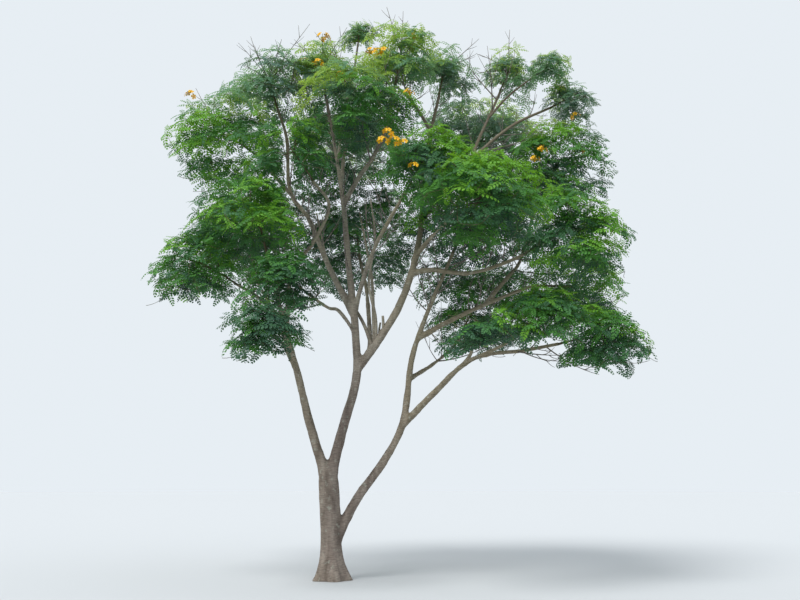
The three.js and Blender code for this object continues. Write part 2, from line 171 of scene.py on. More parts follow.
# The masses of foliage: middle, radius level and upright, the painted light and shade of
# their leaves (0 painted deep shade in blue-green, 1 painted highlight in yellow-green), how
# many of their twigs end in blossom, and the share of their pads that they keep where the
# photograph shows sky through them
masses = {
    name: {"at": place, "level": level, "upright": upright, "light": light, "blossom": heads, "fill": fill}
    for name, place, level, upright, light, heads, fill in (
        ("crest_left", (-0.4, 0.4, 9.55), 0.86, 0.82, 0.6, 2, 0.7),
        ("left_front", (-1.19, -1.4, 6), 1.15, 0.95, 0.65, 0, 1),
        ("right_inner", (2.42, 0.02, 6.45), 1.4, 1.05, 0.5, 0, 1),
        ("crest_right", (2.02, 0.6, 9.6), 0.7, 0.8, 0.5, 0, 0.75),
        ("crest_far_left", (-1.42, 0.3, 9.3), 0.98, 0.86, 0.5, 0, 0.45),
        ("left_crown", (-2.1, -0.2, 7.95), 1.15, 1.05, 0.68, 0, 0.85),
        ("front_middle", (1.61, -1.95, 6.72), 1.04, 0.72, 0.67, 3, 1),
        ("crest_middle", (1.18, -0.2, 9.52), 0.88, 0.86, 0.7, 3, 1),
        ("low_middle", (-0.62, -1.8, 4.8), 0.85, 0.6, 0.5, 0, 1),
        ("crest_tuft", (0.35, 0.3, 10.26), 0.4, 0.31, 0.45, 0, 1),
        ("back_crown", (-0.06, 2.3, 8.9), 1.45, 1.15, 0.45, 0, 1),
        ("back_middle", (0.15, 2.5, 6.75), 1.6, 1.35, 0.36, 0, 1),
        ("crown_centre", (0.41, -0.9, 8.25), 1.23, 0.95, 0.6, 1, 1),
        ("right_front", (4.1, -0.9, 5.85), 1.13, 1, 0.73, 0, 1),
        ("high_right", (4.45, 0.6, 8.95), 0.62, 0.46, 0.45, 1, 0.8),
        ("tall_right", (3.32, 0.9, 9.72), 0.62, 0.76, 0.45, 0, 0.65),
        ("spur_right", (3.98, 0.2, 9.45), 0.52, 0.42, 0.45, 0, 0.8),
        ("front_right", (2.55, -2.55, 5.92), 1.13, 0.85, 0.66, 0, 1),
        ("back_right", (2.9, 2.3, 8.8), 1.45, 1.25, 0.4, 0, 1),
        ("left_inner", (-0.73, -1, 7.33), 0.98, 0.88, 0.64, 0, 1),
        ("far_left", (-2.25, -0.9, 5.3), 1, 0.85, 0.57, 0, 1),
        ("left_back", (-2.15, 2.2, 6.9), 1.35, 1.3, 0.48, 0, 1),
        ("left_low_front", (-0.81, -2.45, 3.9), 0.78, 0.56, 0.52, 0, 1),
        ("far_right_low", (4.45, -1.1, 3.95), 0.92, 0.7, 0.55, 0, 1),
        ("right_low_inner", (3.4, -1.9, 4.15), 0.88, 0.64, 0.6, 0, 1),
        ("right_mid", (4.45, 1, 5.25), 1.08, 1, 0.6, 0, 1),
        ("right_high", (4.15, 0.7, 7.6), 1.15, 1.1, 0.61, 2, 1),
        ("right_back_low", (2.7, 2.5, 5.3), 1.35, 1.2, 0.43, 0, 1),
        ("front_low_right", (2.35, -2.55, 3.85), 0.78, 0.56, 0.5, 0, 1),
    )
}

# The solids' growth rule, the same numbers in metres
growth = {
    "thinning": 1.15, "entries": (0.74, 0.64, 0.54, 0.44, 0.34), "entryMargin": 0.04, "bendMargin": 0.08,
    "spaceMargin": 0.012, "limbClearance": 0.042, "probePieces": 14, "seatGap": 0.0003,
    "stemReach": 0.9, "stemRise": 0.1, "twigStart": (0.45, 0.98), "twigReach": 0.42,
    "twigStagger": 0.1, "twigsPerMetre": 3.6, "fewestTwigs": 3,
    "twigProbes": (0.3, 0.5, 0.7, 0.85, 1.0),
    "leafSites": ((0.55, -1), (0.82, 1), (1.0, 0)), "leafLength": 0.9, "leafShortest": 0.26,
    "leafWidth": 0.62, "leafWaist": 0.52, "leafArch": 0.07, "leafFan": (0.8, 1.1),
    "leafDroop": (-0.16, 0.04), "leafRoll": 1.1, "leafSink": 0.034, "leafReach": 0.99,
    "leafShrink": 0.86, "probeRows": 9, "probeShares": (-1, -0.5, 0, 0.5, 1),
    "blossomLowest": -0.2, "firstSeed": 100,
}


def radiiOf(mass):
    return np.array([mass["level"], mass["level"], mass["upright"]])


def meanRadiusOf(mass):
    return (mass["level"] * 2 + mass["upright"]) / 3


def massReach(mass, direction):  # how far its ellipsoid reaches from its middle
    level = math.hypot(direction[0], direction[1]) / mass["level"]
    return 1 / math.hypot(level, direction[2] / mass["upright"])


def massesReach(points):  # the least share of any mass's ellipsoid at which each point lies
    shares = [
        np.linalg.norm((points - np.array(mass["at"])) / radiiOf(mass), axis=1) for mass in masses.values()
    ]
    return np.min(shares, axis=0)


def massSpace(name):  # the space that a mass keeps to: its ellipsoid, on its own side of the others
    mass = masses[name]
    middle, radii = np.array(mass["at"]), radiiOf(mass)
    directions, limits = [], []
    for otherName, other in masses.items():
        if otherName != name:
            across = np.array(other["at"]) - middle
            direction = unit(across)
            own, theirs = massReach(mass, direction), massReach(other, direction)
            directions.append(direction)
            limits.append(np.linalg.norm(across) * own / (own + theirs) - growth["spaceMargin"])
    directions, limits = np.array(directions), np.array(limits)

    def onOwnSide(points, overlap=0.0):
        return np.all((np.atleast_2d(points) - middle) @ directions.T < limits + overlap, axis=1)

    def holds(points):
        inside = np.linalg.norm((np.atleast_2d(points) - middle) / radii, axis=1) < 1
        return inside & onOwnSide(points)

    def runFrom(point, direction):
        start, step = (point - middle) / radii, direction / radii
        a, b, c = step @ step, start @ step, start @ start - 1
        return (-b + math.sqrt(max(0, b * b - a * c))) / a

    return {"middle": middle, "onOwnSide": onOwnSide, "holds": holds, "runFrom": runFrom}


# The limbs: what carries them, how far along it, radius at both ends, mass, and bends
limbs = {
    "middle_stem": ("bole", 0.84, (0.098, 0.03), "crest_left", [
        (0.15, 0, 2.51), (0.38, 0, 3.4), (0.35, 0.04, 4.3), (0.21, 0.1, 5.5), (0.07, 0.2, 6.84)]),
    "left_stem": ("bole", 0.84, (0.094, 0.034), "left_front", [
        (-0.38, -0.05, 2.48), (-0.64, -0.18, 3.5), (-0.94, -0.38, 4.6)]),
    "right_stem": ("bole", 0.27, (0.092, 0.034), "right_inner", [
        (0.42, 0.1, 1.35), (0.86, 0.15, 1.96), (1.19, 0.16, 2.6), (1.4, 0.2, 3.93)]),
    "fork_bough": ("middle_stem", 0.27, (0.082, 0.03), "crest_right", [
        (0.74, 0, 4.04), (1.18, 0.02, 4.8), (1.5, 0.12, 5.95), (1.62, 0.35, 7.6)]),
    "middle_left_bough": ("middle_stem", 0.4, (0.064, 0.026), "crest_far_left", [
        (-0.16, 0.15, 5.5), (-0.56, 0.22, 6.43), (-0.92, 0.3, 6.96), (-1.04, 0.3, 8.1)]),
    "left_crown_bough": ("middle_left_bough", 0.6, (0.04, 0.024), "left_crown", [
        (-1.21, 0.1, 7.25), (-1.47, 0, 7.57)]),
    "middle_inner_bough": ("middle_stem", 0.41, (0.052, 0.026), "front_middle", [
        (0.56, -0.24, 5.32), (0.78, -0.68, 5.7)]),
    "crown_bough": ("middle_stem", 0.69, (0.054, 0.026), "crest_middle", [
        (0.38, 0.1, 7.19), (0.66, 0, 7.56), (0.9, 0, 8.15)]),
    "low_middle_bough": ("middle_stem", 0.36, (0.038, 0.022), "low_middle", [
        (0.09, -0.32, 4.56), (-0.04, -0.8, 4.52)]),
    "crest_tuft_bough": ("middle_stem", 0.81, (0.032, 0.018), "crest_tuft", [
        (0.11, 0.25, 8.72), (0.26, 0.2, 9.45)]),
    "back_crown_bough": ("middle_stem", 0.74, (0.044, 0.026), "back_crown", [
        (0.01, 0.9, 7.9), (0, 1.6, 8.5)]),
    "back_bough": ("fork_bough", 0.07, (0.052, 0.028), "back_middle", [
        (0.56, 0.5, 4.6), (0.45, 1.2, 5.35), (0.25, 2.05, 6.15)]),
    "over_bough": ("fork_bough", 0.86, (0.034, 0.02), "crown_centre", [
        (1.42, 0.23, 8.7), (1.08, -0.06, 8.93)]),
    "level_bough": ("fork_bough", 0.35, (0.054, 0.026), "right_front", [
        (1.7, -0.12, 5.34), (2.4, -0.3, 5.23), (3.18, -0.5, 5.43)]),
    "high_right_bough": ("fork_bough", 0.53, (0.054, 0.024), "high_right", [
        (1.93, 0.4, 6.94), (2.44, 0.6, 7.63), (3.34, 0.7, 8.45)]),
    "tall_right_bough": ("high_right_bough", 0.47, (0.036, 0.022), "tall_right", [
        (2.68, 0.7, 8.19), (2.96, 0.8, 8.83)]),
    "spur_right_bough": ("tall_right_bough", 0.62, (0.026, 0.018), "spur_right", [
        (3.24, 0.68, 9.03)]),
    "front_right_bough": ("fork_bough", 0.41, (0.048, 0.026), "front_right", [
        (1.75, -0.8, 5.78), (2.1, -1.7, 5.85)]),
    "back_right_bough": ("fork_bough", 0.62, (0.046, 0.026), "back_right", [
        (1.85, 1.2, 7.58), (2.14, 2.05, 8.1)]),
    "left_inner_bough": ("left_stem", 0.66, (0.046, 0.024), "left_inner", [
        (-0.72, -0.48, 5.24), (-0.33, -0.52, 5.81), (-0.09, -0.56, 6.45)]),
    "left_low_bough": ("left_stem", 0.7, (0.042, 0.024), "far_left", [
        (-1.32, -0.58, 4.78)]),
    "left_back_bough": ("left_stem", 0.55, (0.054, 0.028), "left_back", [
        (-1.27, 0.6, 4.8), (-1.78, 1.5, 5.62)]),
    "left_front_low_bough": ("left_stem", 0.46, (0.04, 0.022), "left_low_front", [
        (-0.75, -1.0, 3.84)]),
    "right_low_bough": ("right_stem", 0.42, (0.07, 0.026), "far_right_low", [
        (1.76, 0, 3.15), (2.43, -0.3, 3.7), (3.3, -0.6, 3.8)]),
    "right_low_inner_bough": ("right_low_bough", 0.55, (0.034, 0.022), "right_low_inner", [
        (2.96, -0.85, 3.88)]),
    "right_mid_bough": ("right_stem", 0.7, (0.06, 0.028), "right_mid", [
        (1.98, 0.3, 4.45), (2.9, 0.47, 4.9), (3.64, 0.62, 5.2)]),
    "right_high_bough": ("right_mid_bough", 0.55, (0.046, 0.026), "right_high", [
        (3.14, 0.6, 5.35), (3.4, 0.8, 5.7), (3.72, 1.0, 6.7)]),
    "right_back_low_bough": ("right_stem", 0.57, (0.046, 0.026), "right_back_low", [
        (1.76, 1.0, 3.8), (2.22, 1.85, 4.33)]),
    "front_low_right_bough": ("right_low_bough", 0.32, (0.038, 0.022), "front_low_right", [
        (2.33, -0.9, 3.64)]),
}


def limbTip(massName, lastBend):
    space = massSpace(massName)
    outward = unit(np.array(lastBend) - space["middle"])
    reach = massReach(masses[massName], outward)
    bendShare = np.linalg.norm(np.array(lastBend) - space["middle"]) / reach
    for share in growth["entries"]:
        tried = space["middle"] + outward * (share + growth["entryMargin"]) * reach
        if share < bendShare - growth["bendMargin"] and space["onOwnSide"](tried)[0]:
            return space["middle"] + outward * share * reach


def growLimbs():
    grown = {"bole": {
        "at": lambda share: boleMiddle(bole["height"] * share),
        "radius": lambda share: bole["radius"],
        "length": bole["height"],
    }}
    for name, (carrier, start, thick, mass, bends) in limbs.items():
        curve = smoothCurve([grown[carrier]["at"](start), *bends, limbTip(mass, bends[-1])])
        curve["radius"] = lambda share, thick=thick: between(thick[::-1], (1 - share) ** growth["thinning"])
        grown[name] = curve
    return grown


def limbPieces(grown):  # the ends and radii of short pieces of every limb
    starts, ends, radii = [], [], []
    count = growth["probePieces"]
    for limb in grown.values():
        marks = [limb["at"](i / count) for i in range(count + 1)]
        starts += marks[:-1]
        ends += marks[1:]
        radii += [limb["radius"](i / count) for i in range(count)]
    return np.array(starts), np.array(ends), np.array(radii)


def clearOfLimbs(points, pieces):
    starts, ends, radii = pieces
    along = ends - starts
    offset = points[:, None, :] - starts[None]
    share = np.clip(np.sum(offset * along, axis=2) / np.sum(along * along, axis=1), 0, 1)
    away = np.linalg.norm(offset - share[..., None] * along, axis=2)
    return np.all(away > radii + growth["limbClearance"])


def spreadDirection(index, count, turn):
    height = 1 - 2 * (index + 0.5) / count
    ring = math.sqrt(1 - height * height)
    angle = math.pi * (3 - math.sqrt(5)) * index + turn
    return np.array([ring * math.cos(angle), ring * math.sin(angle), height])


def leafProbes(root, direction, side, length):
    up = np.cross(direction, side)
    rows = growth["probeRows"]
    probes = []
    for i in range(1, rows + 1):
        along = i / rows
        breadth = min(along / growth["leafWaist"], (1 - along) / (1 - growth["leafWaist"]))
        for across in growth["probeShares"]:
            probes.append(
                root + direction * along * length + up * breadth * growth["leafArch"] * length
                + side * across * breadth * growth["leafWidth"] * length / 2
            )
    return np.array(probes)


def spraysOn(start, end, space, pieces, random):  # where the solids have a leaf, the scene has a spray
    sprays = []
    outward = unit(end - start)
    fanAxis = np.cross(unit([-outward[1], outward[0], 0.02]), outward)
    for share, fan in growth["leafSites"]:
        root = start + (end - start) * share
        if fan == 0:
            root = root - outward * growth["leafSink"]
        direction = turned(outward, unit(fanAxis), fan * between(growth["leafFan"], random()))
        direction = unit(direction + [0, 0, between(growth["leafDroop"], random())])
        side = unit(np.cross([0, 0, 1], direction))
        side = turned(side, direction, between((-growth["leafRoll"], growth["leafRoll"]), random()))
        length = min(growth["leafLength"], growth["leafReach"] * space["runFrom"](root, direction))
        while length > growth["leafShortest"]:
            probes = leafProbes(root, direction, side, length)
            if np.all(space["holds"](probes)) and clearOfLimbs(probes, pieces):
                sprays.append((root, direction, length))
                break
            length *= growth["leafShrink"]
    return sprays


def growTwigs(name, limb, pieces, seed):  # the stem and twigs of a mass, and its sprays' leads
    random = seededRandom(seed)
    mass, space = masses[name], massSpace(name)
    stemStart = limb["at"](1) + limb["heading"] * growth["seatGap"]
    stemEnd = stemStart + (space["middle"] - stemStart) * growth["stemReach"]
    stemEnd = stemEnd + limb["heading"] * growth["stemRise"] * mass["upright"]
    lines = [(stemStart, stemEnd)]
    sprays, blossoms = [], []
    count = max(growth["fewestTwigs"], round(meanRadiusOf(mass) * growth["twigsPerMetre"]))
    turn = random() * 2 * math.pi
    for i in range(count):
        direction = spreadDirection(i, count, turn)
        start = stemStart + (stemEnd - stemStart) * between(growth["twigStart"], random())
        reach = massReach(mass, direction) * (growth["twigReach"] + growth["twigStagger"] * (random() - 0.5))
        end = space["middle"] + direction * reach
        probes = np.array([start + (end - start) * share for share in growth["twigProbes"]])
        if not (np.all(space["holds"](probes)) and clearOfLimbs(probes, pieces)):
            continue
        lines.append((start, end))
        sprays += spraysOn(start, end, space, pieces, random)
        if len(blossoms) < mass["blossom"] and direction[2] > growth["blossomLowest"]:
            blossoms.append((end, unit(end - start)))
    return {"lines": lines, "sprays": sprays, "blossoms": blossoms, "stemEnd": stemEnd, "space": space}


# How the masses' own stems and twigs are drawn
massTwigs = {"pieces": 6, "rise": 0.05, "stemShare": 0.94, "stemTip": 0.013, "radii": (0.0135, 0.007)}

# Finer twigs: their radii, how they bend, the pieces that each is drawn in, and the marks
# along a twig that a finer one may leave from
fineTwigs = {
    "tipRadius": 0.0045, "growPerMetre": 0.009, "ofCarrier": 0.85, "bend": 0.3, "rise": 0.1, "pieces": 4,
    "markStep": 0.07, "marksFrom": 0.15, "fallCost": 0.45, "shortest": 0.08, "seed": 500,
}


def drawMassTwigs(lines, thick):
    drawn = []
    for start, end in lines:
        rise = (0, 0, massTwigs["rise"] * np.linalg.norm(end - start))
        radii = massTwigs["radii"] if drawn else (thick[1] * massTwigs["stemShare"], massTwigs["stemTip"])
        drawn.append(bentTwig(start, end, rise, massTwigs["pieces"], radii))
    return drawn


def nodesAlong(points, radii):  # close marks along a twig, each with its radius
    length = float(np.sum(np.linalg.norm(np.diff(points, axis=0), axis=1)))
    count = max(2, round(length / fineTwigs["markStep"]))
    marks = np.linspace(0, 1, len(points))
    return [
        (readRows(share, marks, points), float(np.interp(share, marks, radii)))
        for share in np.linspace(fineTwigs["marksFrom"], 1, count)
    ]


def fineTwig(nodes, tip, random):  # a twig from the handiest mark to a rosette, turning up at its end
    starts = np.array([place for place, _ in nodes])
    offset = tip - starts
    away = np.linalg.norm(offset, axis=1)
    tooNear = np.where(away < fineTwigs["shortest"], 1, 0)
    best = int(np.argmin(away + fineTwigs["fallCost"] * np.maximum(0, -offset[:, 2]) + tooNear))
    start, carrierRadius = nodes[best]
    length = away[best]
    sideways = unit(np.cross(offset[best], [0.3, 0.2, 1])) * (random() - 0.5) * fineTwigs["bend"]
    bow = (sideways - [0, 0, fineTwigs["rise"]]) * length
    thickest = fineTwigs["tipRadius"] + fineTwigs["growPerMetre"] * length
    radii = (min(carrierRadius * fineTwigs["ofCarrier"], thickest), fineTwigs["tipRadius"])
    return bentTwig(start, tip, bow, fineTwigs["pieces"], radii)


# Pads of rosettes, flat domes as in the photograph: how many beside those on sprays for
# a mass's mean radius squared, how far inside the mass they keep, how many lie deep, how
# their rims hang and rosettes lean, and their painted light: painted lighter higher in the
# mass, painted shade on deep pads, and a random spread. Their radius runs from one end to
# the other, and the other pairs are a least value and a span
pads = {
    "perSquare": 16, "fewest": 1, "keep": (0.18, 0.18, 0.12), "ownKeep": (0.5, 0.5, 0.1), "leastInner": 0.08,
    "radius": (0.28, 0.5), "widest": 0.6, "onSpray": (0.2, 0.3), "backOnSpray": 0.45, "leastOnSpray": 0.1,
    "deepShare": 0.28, "deepAt": (0.3, 0.4), "outerAt": (0.84, 0.18), "overlap": 0.3,
    "underside": -0.6, "undersideSkipped": 0.4, "rosettes": 9.4, "firstRosette": 0.35,
    "drop": 0.5, "lean": 0.5, "uneven": 0.16, "splay": 0.62, "outward": 0.25, "upward": 0.8,
    # painted light: lightUp paints pads lighter higher in a mass, deepShade paints deep pads in shade,
    # lightSpread is a random spread
    "lightUp": 0.28, "lightSpread": 0.62, "deepShade": 0.22, "slightMass": 0.75, "slightVigour": 0.3,
}

# Pads painted in shade, dealt as deep ones, placed where the photograph shows leaves, most
# of them behind the wood, by mass: place and radius
morePads = {
    "left_back": [(-1.09, 1.9, 7.52, 0.42), (-0.9, 1.9, 7.14, 0.42), (-0.95, 2.1, 7.75, 0.4)],
    "back_middle": [
        (-0.61, 1.9, 7.46, 0.42), (-0.7, 1.9, 6.87, 0.42), (-0.6, 1.8, 7.17, 0.45), (-0.4, 2.0, 6.98, 0.42),
        (1.27, 2.0, 6.42, 0.42), (0.61, 1.9, 7.57, 0.42), (0.94, 2.0, 7.55, 0.4)],
    "back_right": [
        (2.09, 2.0, 9.2, 0.42), (2.5, 2.0, 9.2, 0.42), (1.85, 2.0, 9.05, 0.4), (1.78, 2.3, 9.4, 0.42)],
    "crest_far_left": [(-1.17, 0.75, 8.65, 0.4), (-1.35, 0.7, 8.8, 0.38)],
    "left_crown": [(-1.2, 0.4, 8.0, 0.4), (-1.3, 0.3, 8.3, 0.4)],
    "right_back_low": [
        (3.6, 2.3, 5.8, 0.45), (3.38, 2.3, 5.98, 0.42), (1.75, 2.4, 5.85, 0.45), (1.7, 2.35, 6.05, 0.4)],
    "right_mid": [(3.75, 1.3, 5.55, 0.42), (3.7, 1.0, 5.75, 0.42)],
    "right_high": [(4.8, 0.7, 8.25, 0.38), (4.95, 0.7, 7.3, 0.38)],
}


def padLight(mass, place, deep, bright):  # how lit the pad at a place is painted: lighter higher up, painted shade when deep
    height = (place[2] - mass["at"][2]) / mass["upright"]
    light = mass["light"] + pads["lightUp"] * height + pads["lightSpread"] * (bright - 0.5)
    return light - (pads["deepShade"] if deep else 0)


def padRosettes(centre, outward, radius, random):  # places on a dome that leans outwards, and headings
    count = max(2, round(pads["rosettes"] * math.pi * radius ** 2))
    turn = random() * 2 * math.pi
    spots = []
    for k in range(count):
        reach = math.sqrt((k + pads["firstRosette"]) / count)
        level = spoke(turn + k * goldenTurn) * reach
        fall = pads["drop"] * reach ** 2 + pads["lean"] * float(level @ outward)
        fall += pads["uneven"] * (random() - 0.5)
        heading = unit(level * pads["splay"] + outward * pads["outward"] + [0, 0, pads["upward"]])
        spots.append((centre + (level - [0, 0, fall]) * radius, heading))
    return spots


def padsOf(name, lead, random):  # pads on a mass's sprays, between them on its outside, and listed ones
    mass, middle, made = masses[name], lead["space"]["middle"], []
    for root, direction, length in lead["sprays"]:
        radius = fromLeast(pads["onSpray"], length)
        along = max(pads["leastOnSpray"], length - pads["keep"][0] - pads["backOnSpray"] * radius)
        made.append((root + direction * along, direction, radius, False))
    count = pads["fewest"] + round(pads["perSquare"] * meanRadiusOf(mass) ** 2 * mass["fill"])
    turn = random() * 2 * math.pi
    for i in range(count):
        direction = spreadDirection(i, count, turn)
        deep = random() < pads["deepShare"]
        radius = min(between(pads["radius"], random()), pads["widest"] * mass["level"])
        inner = radiiOf(mass) - np.array(pads["keep"]) - np.array(pads["ownKeep"]) * radius
        share = fromLeast(pads["deepAt"] if deep else pads["outerAt"], random())
        if direction[2] > pads["underside"] or random() > pads["undersideSkipped"]:
            place = middle + direction * np.maximum(inner, pads["leastInner"]) * share
            made.append((place, direction, radius, deep))
    # listed pads are deep, so their leaves are painted in shade
    for *place, radius in morePads.get(name, []):
        made.append((np.array(place), unit(np.array(place) - middle), radius, True))
    return made


# Heads of blossom: those on a mass's own twigs, and those placed by the mass that carries
# them, each with its number of flowers. The last three masses are out of the
# photograph's sight, and carry theirs like those that show
blossomHeads = {
    "aboveTwig": 0.04, "onTwig": 5, "rosetteBelow": (0, -0.05, 0.14),
    "places": {
        "crest_left": [(-0.29, -0.26, 9.83, 6), (-0.38, -0.28, 9.29, 5)],
        "crest_middle": [(0.66, -0.67, 9.27, 6), (0.77, -0.74, 9.21, 6), (0.9, -0.82, 9.22, 4)],
        "front_middle": [
            (0.98, -2.72, 6.7, 4), (1.07, -2.78, 6.82, 3), (1.17, -2.84, 6.65, 4), (1.31, -2.88, 6.6, 2),
            (1.46, -2.8, 6.26, 2)],
        "crown_centre": [(1.36, -1.42, 8.12, 3)],
        "right_high": [(3.75, -0.34, 7.48, 3), (3.63, -0.24, 7.34, 3)],
        "high_right": [(4.53, 0.5, 8.5, 4)],
        "back_crown": [(-0.4, 3.25, 9.62, 5), (0.2, 2.9, 9.85, 4)],
        "back_right": [(3.2, 3.2, 9.6, 5)],
        "left_crown": [(-2.75, -0.35, 8.65, 4)],
    },
}

# Bare twigs that stand out of a mass, from the mass's middle, each with two forks. The
# forks' length is a least value and a span
bareTwigs = {
    "radii": (0.012, 0.004), "pieces": 8, "sway": 0.12,
    "forks": ((0.62, 1), (0.78, -1)), "forkLean": 0.6, "forkLength": (0.16, 0.1),
    "forkRadii": (0.006, 0.003), "forkPieces": 4, "forkSag": 0.02,
    "places": {
        "crest_left": [(0.5, -0.08, 0.86), (-0.45, -0.65, 0.3), (0.1, -0.75, 0.35)],
        "crest_far_left": [
            (-0.4, 0.04, 0.96), (0.79, -0.06, 1.15), (-0.15, -0.7, 0.35), (-0.5, -0.55, 0.5),
            (0.35, -0.65, 0.5), (-0.3, -0.8, -0.1)],
        "crest_middle": [(-0.27, -0.04, 0.98), (0.04, 0.12, 0.98)],
        "crest_right": [(0.62, -0.05, 0.3), (0.7, 0.1, 0.72)],
        "tall_right": [(-0.64, -0.1, -0.1), (-0.6, -0.05, 0.34), (0.04, 0, 0.9)],
        "left_crown": [(-0.62, 0.06, 0.98)],
    },
}


def growBareTwigs(name, lead, random):
    start, made = lead["stemEnd"], []
    for offset in bareTwigs["places"].get(name, []):
        tip = lead["space"]["middle"] + np.array(offset)
        sway = np.array([random() - 0.5, random() - 0.5, 0]) * bareTwigs["sway"]
        points, radii = bentTwig(start, tip, sway, bareTwigs["pieces"], bareTwigs["radii"])
        made.append((points, radii))
        for share, side in bareTwigs["forks"]:
            fork = points[round(share * bareTwigs["pieces"])]
            heading = unit(unit(tip - start) + np.array([side * bareTwigs["forkLean"], random() - 0.5, 0]))
            end = fork + heading * fromLeast(bareTwigs["forkLength"], random())
            sag = (0, 0, -bareTwigs["forkSag"])
            made.append(bentTwig(fork, end, sag, bareTwigs["forkPieces"], bareTwigs["forkRadii"]))
    return made


def growCrown(grown):  # the masses' twigs, rosettes, heads of blossom and bare twigs
    pieces = limbPieces(grown)
    twigs, rosettes, blossoms, bare = [], [], [], []
    for index, (limbName, (_, _, thick, name, _)) in enumerate(limbs.items()):
        mass = masses[name]
        lead = growTwigs(name, grown[limbName], pieces, growth["firstSeed"] + index)
        random = seededRandom(fineTwigs["seed"] + index)
        drawn = drawMassTwigs(lead["lines"], thick)
        twigs += drawn
        nodes = [node for line in drawn for node in nodesAlong(*line)]
        spots = []
        for centre, outward, radius, deep in padsOf(name, lead, random):
            light = padLight(mass, centre, deep, random())
            for tip, axis in padRosettes(centre, outward, radius, random):
                if lead["space"]["onOwnSide"](tip, pads["overlap"])[0]:
                    spots.append((np.linalg.norm(tip - lead["stemEnd"]), len(spots), tip, axis, light))
        wanted = [spot[2:] for spot in sorted(spots, key=lambda found: found[:2])]
        heads = blossomHeads["places"].get(name, [])
        wanted += [
            (np.array(place) - blossomHeads["rosetteBelow"], np.array([0, 0, 1.0]), mass["light"])
            for *place, _ in heads
        ]
        vigour = pads["slightVigour"] if mass["level"] < pads["slightMass"] else 1
        for tip, axis, light in wanted:
            twigs.append(fineTwig(nodes, tip, random))
            nodes += nodesAlong(*twigs[-1])
            rosettes.append({"at": tip, "axis": axis, "light": light, "vigour": random() * vigour})
        for end, outward in lead["blossoms"]:
            place = end + outward * blossomHeads["aboveTwig"]
            blossoms.append({"at": place, "count": blossomHeads["onTwig"]})
        blossoms += [{"at": np.array(place), "count": count} for *place, count in heads]
        bare += growBareTwigs(name, lead, random)
    return twigs, rosettes, blossoms, bare


# Thin stems and broken stubs at the main fork, too slight for the solids: how far along
# their carrier, radius at both ends, and bends to their tip
forkStems = {
    "carrier": "fork_bough", "step": 0.12, "fewestMarks": 6,
    "stems": [
        (0.09, (0.036, 0.013), [(0.67, 0.14, 4.6), (0.62, 0.35, 5.3), (0.45, 0.8, 6.2), (0.3, 1.3, 6.9)]),
        (0.08, (0.036, 0.013), [(0.5, 0.2, 4.4), (0.24, 0.28, 4.85), (-0.12, 0.25, 5.4), (-0.4, 0.1, 6.5)]),
        (0.1, (0.03, 0.012), [(0.72, -0.05, 4.5), (0.6, -0.1, 5.1), (0.72, -0.3, 5.9), (0.66, -0.7, 6.5)]),
        (0.14, (0.03, 0.022), [(0.86, -0.04, 4.36), (0.85, -0.05, 4.52)]),
        (0.12, (0.024, 0.016), [(0.78, 0.06, 4.28), (0.8, 0.08, 4.42)]),
    ],
}


def growForkStems(grown):
    lines = []
    for start, thick, bends in forkStems["stems"]:
        curve = smoothCurve([grown[forkStems["carrier"]]["at"](start), *bends])
        count = max(forkStems["fewestMarks"], round(curve["length"] / forkStems["step"]))
        shares = np.linspace(0, 1, count)
        lines.append((placesOn(curve, shares), between(thick, shares)))
    return lines


# Bare side twigs inside the crown: how many for each metre of a limb, from where along
# it, and how far past the masses one that climbs may end. The three pairs in the last
# row are a least value and a span
innerTwigs = {
    "perMetre": 5.0, "from": (0.3, 0.97), "length": (0.35, 1.4), "skew": 1.6, "radii": (0.0125, 0.0035),
    "shortestLimb": 1.5, "rise": 0.45, "climb": 0.3, "withinCrown": 1.45, "pieces": 7, "bow": 0.3,
    "forks": 3, "firstFork": 3, "forkSpread": 1.7, "forkSag": 0.05, "forkPieces": 4, "forkRadii": (0.6, 0.8),
    "headingStep": 0.02, "seed": 7100, "ahead": (0.3, 0.8), "bowUp": (0.2, 0.3), "forkLength": (0.2, 0.25),
}


def forksOf(points, thick, length, random):  # small forks on an inner twig
    made = []
    heading = unit(points[-1] - points[0])
    radii = (thick * innerTwigs["forkRadii"][0], innerTwigs["radii"][1] * innerTwigs["forkRadii"][1])
    sag = (0, 0, -innerTwigs["forkSag"] * length)
    for root in points[innerTwigs["firstFork"]:][:innerTwigs["forks"]]:
        spread = np.array([random() - 0.5, random() - 0.5, random() - 0.3]) * innerTwigs["forkSpread"]
        tip = root + unit(heading + spread) * length * fromLeast(innerTwigs["forkLength"], random())
        made.append(bentTwig(root, tip, sag, innerTwigs["forkPieces"], radii))
    return made


def growInnerTwigs(grown):
    random = seededRandom(innerTwigs["seed"])
    made = []
    for name, limb in grown.items():
        if name == "bole" or limb["length"] < innerTwigs["shortestLimb"]:
            continue
        for _ in range(round(limb["length"] * innerTwigs["perMetre"])):
            share = between(innerTwigs["from"], random())
            start, ahead = limb["at"](share), limb["at"](min(1, share + innerTwigs["headingStep"]))
            along = unit(ahead - start)
            sideways = turned(unit(np.cross(along, [0.2, 0.9, 0.3])), along, random() * 2 * math.pi)
            lean = along * fromLeast(innerTwigs["ahead"], random())
            heading = unit(sideways + lean + [0, 0, innerTwigs["rise"]])
            length = between(innerTwigs["length"], random() ** innerTwigs["skew"])
            end = start + heading * length
            climbs = end[2] > start[2] + innerTwigs["climb"] * length
            inBox = np.all((end > cadBox[0]) & (end < cadBox[1]))
            if massesReach(end[None])[0] > (innerTwigs["withinCrown"] if climbs else 1) or not inBox:
                continue
            bow = np.array([random() - 0.5, random() - 0.5, fromLeast(innerTwigs["bowUp"], random())])
            bow = -bow * innerTwigs["bow"] * length
            thick = between(innerTwigs["radii"][::-1], length)
            points, radii = bentTwig(start, end, bow, innerTwigs["pieces"], (thick, innerTwigs["radii"][1]))
            made.append((points, radii))
            made += forksOf(points, thick, length, random)
    return made


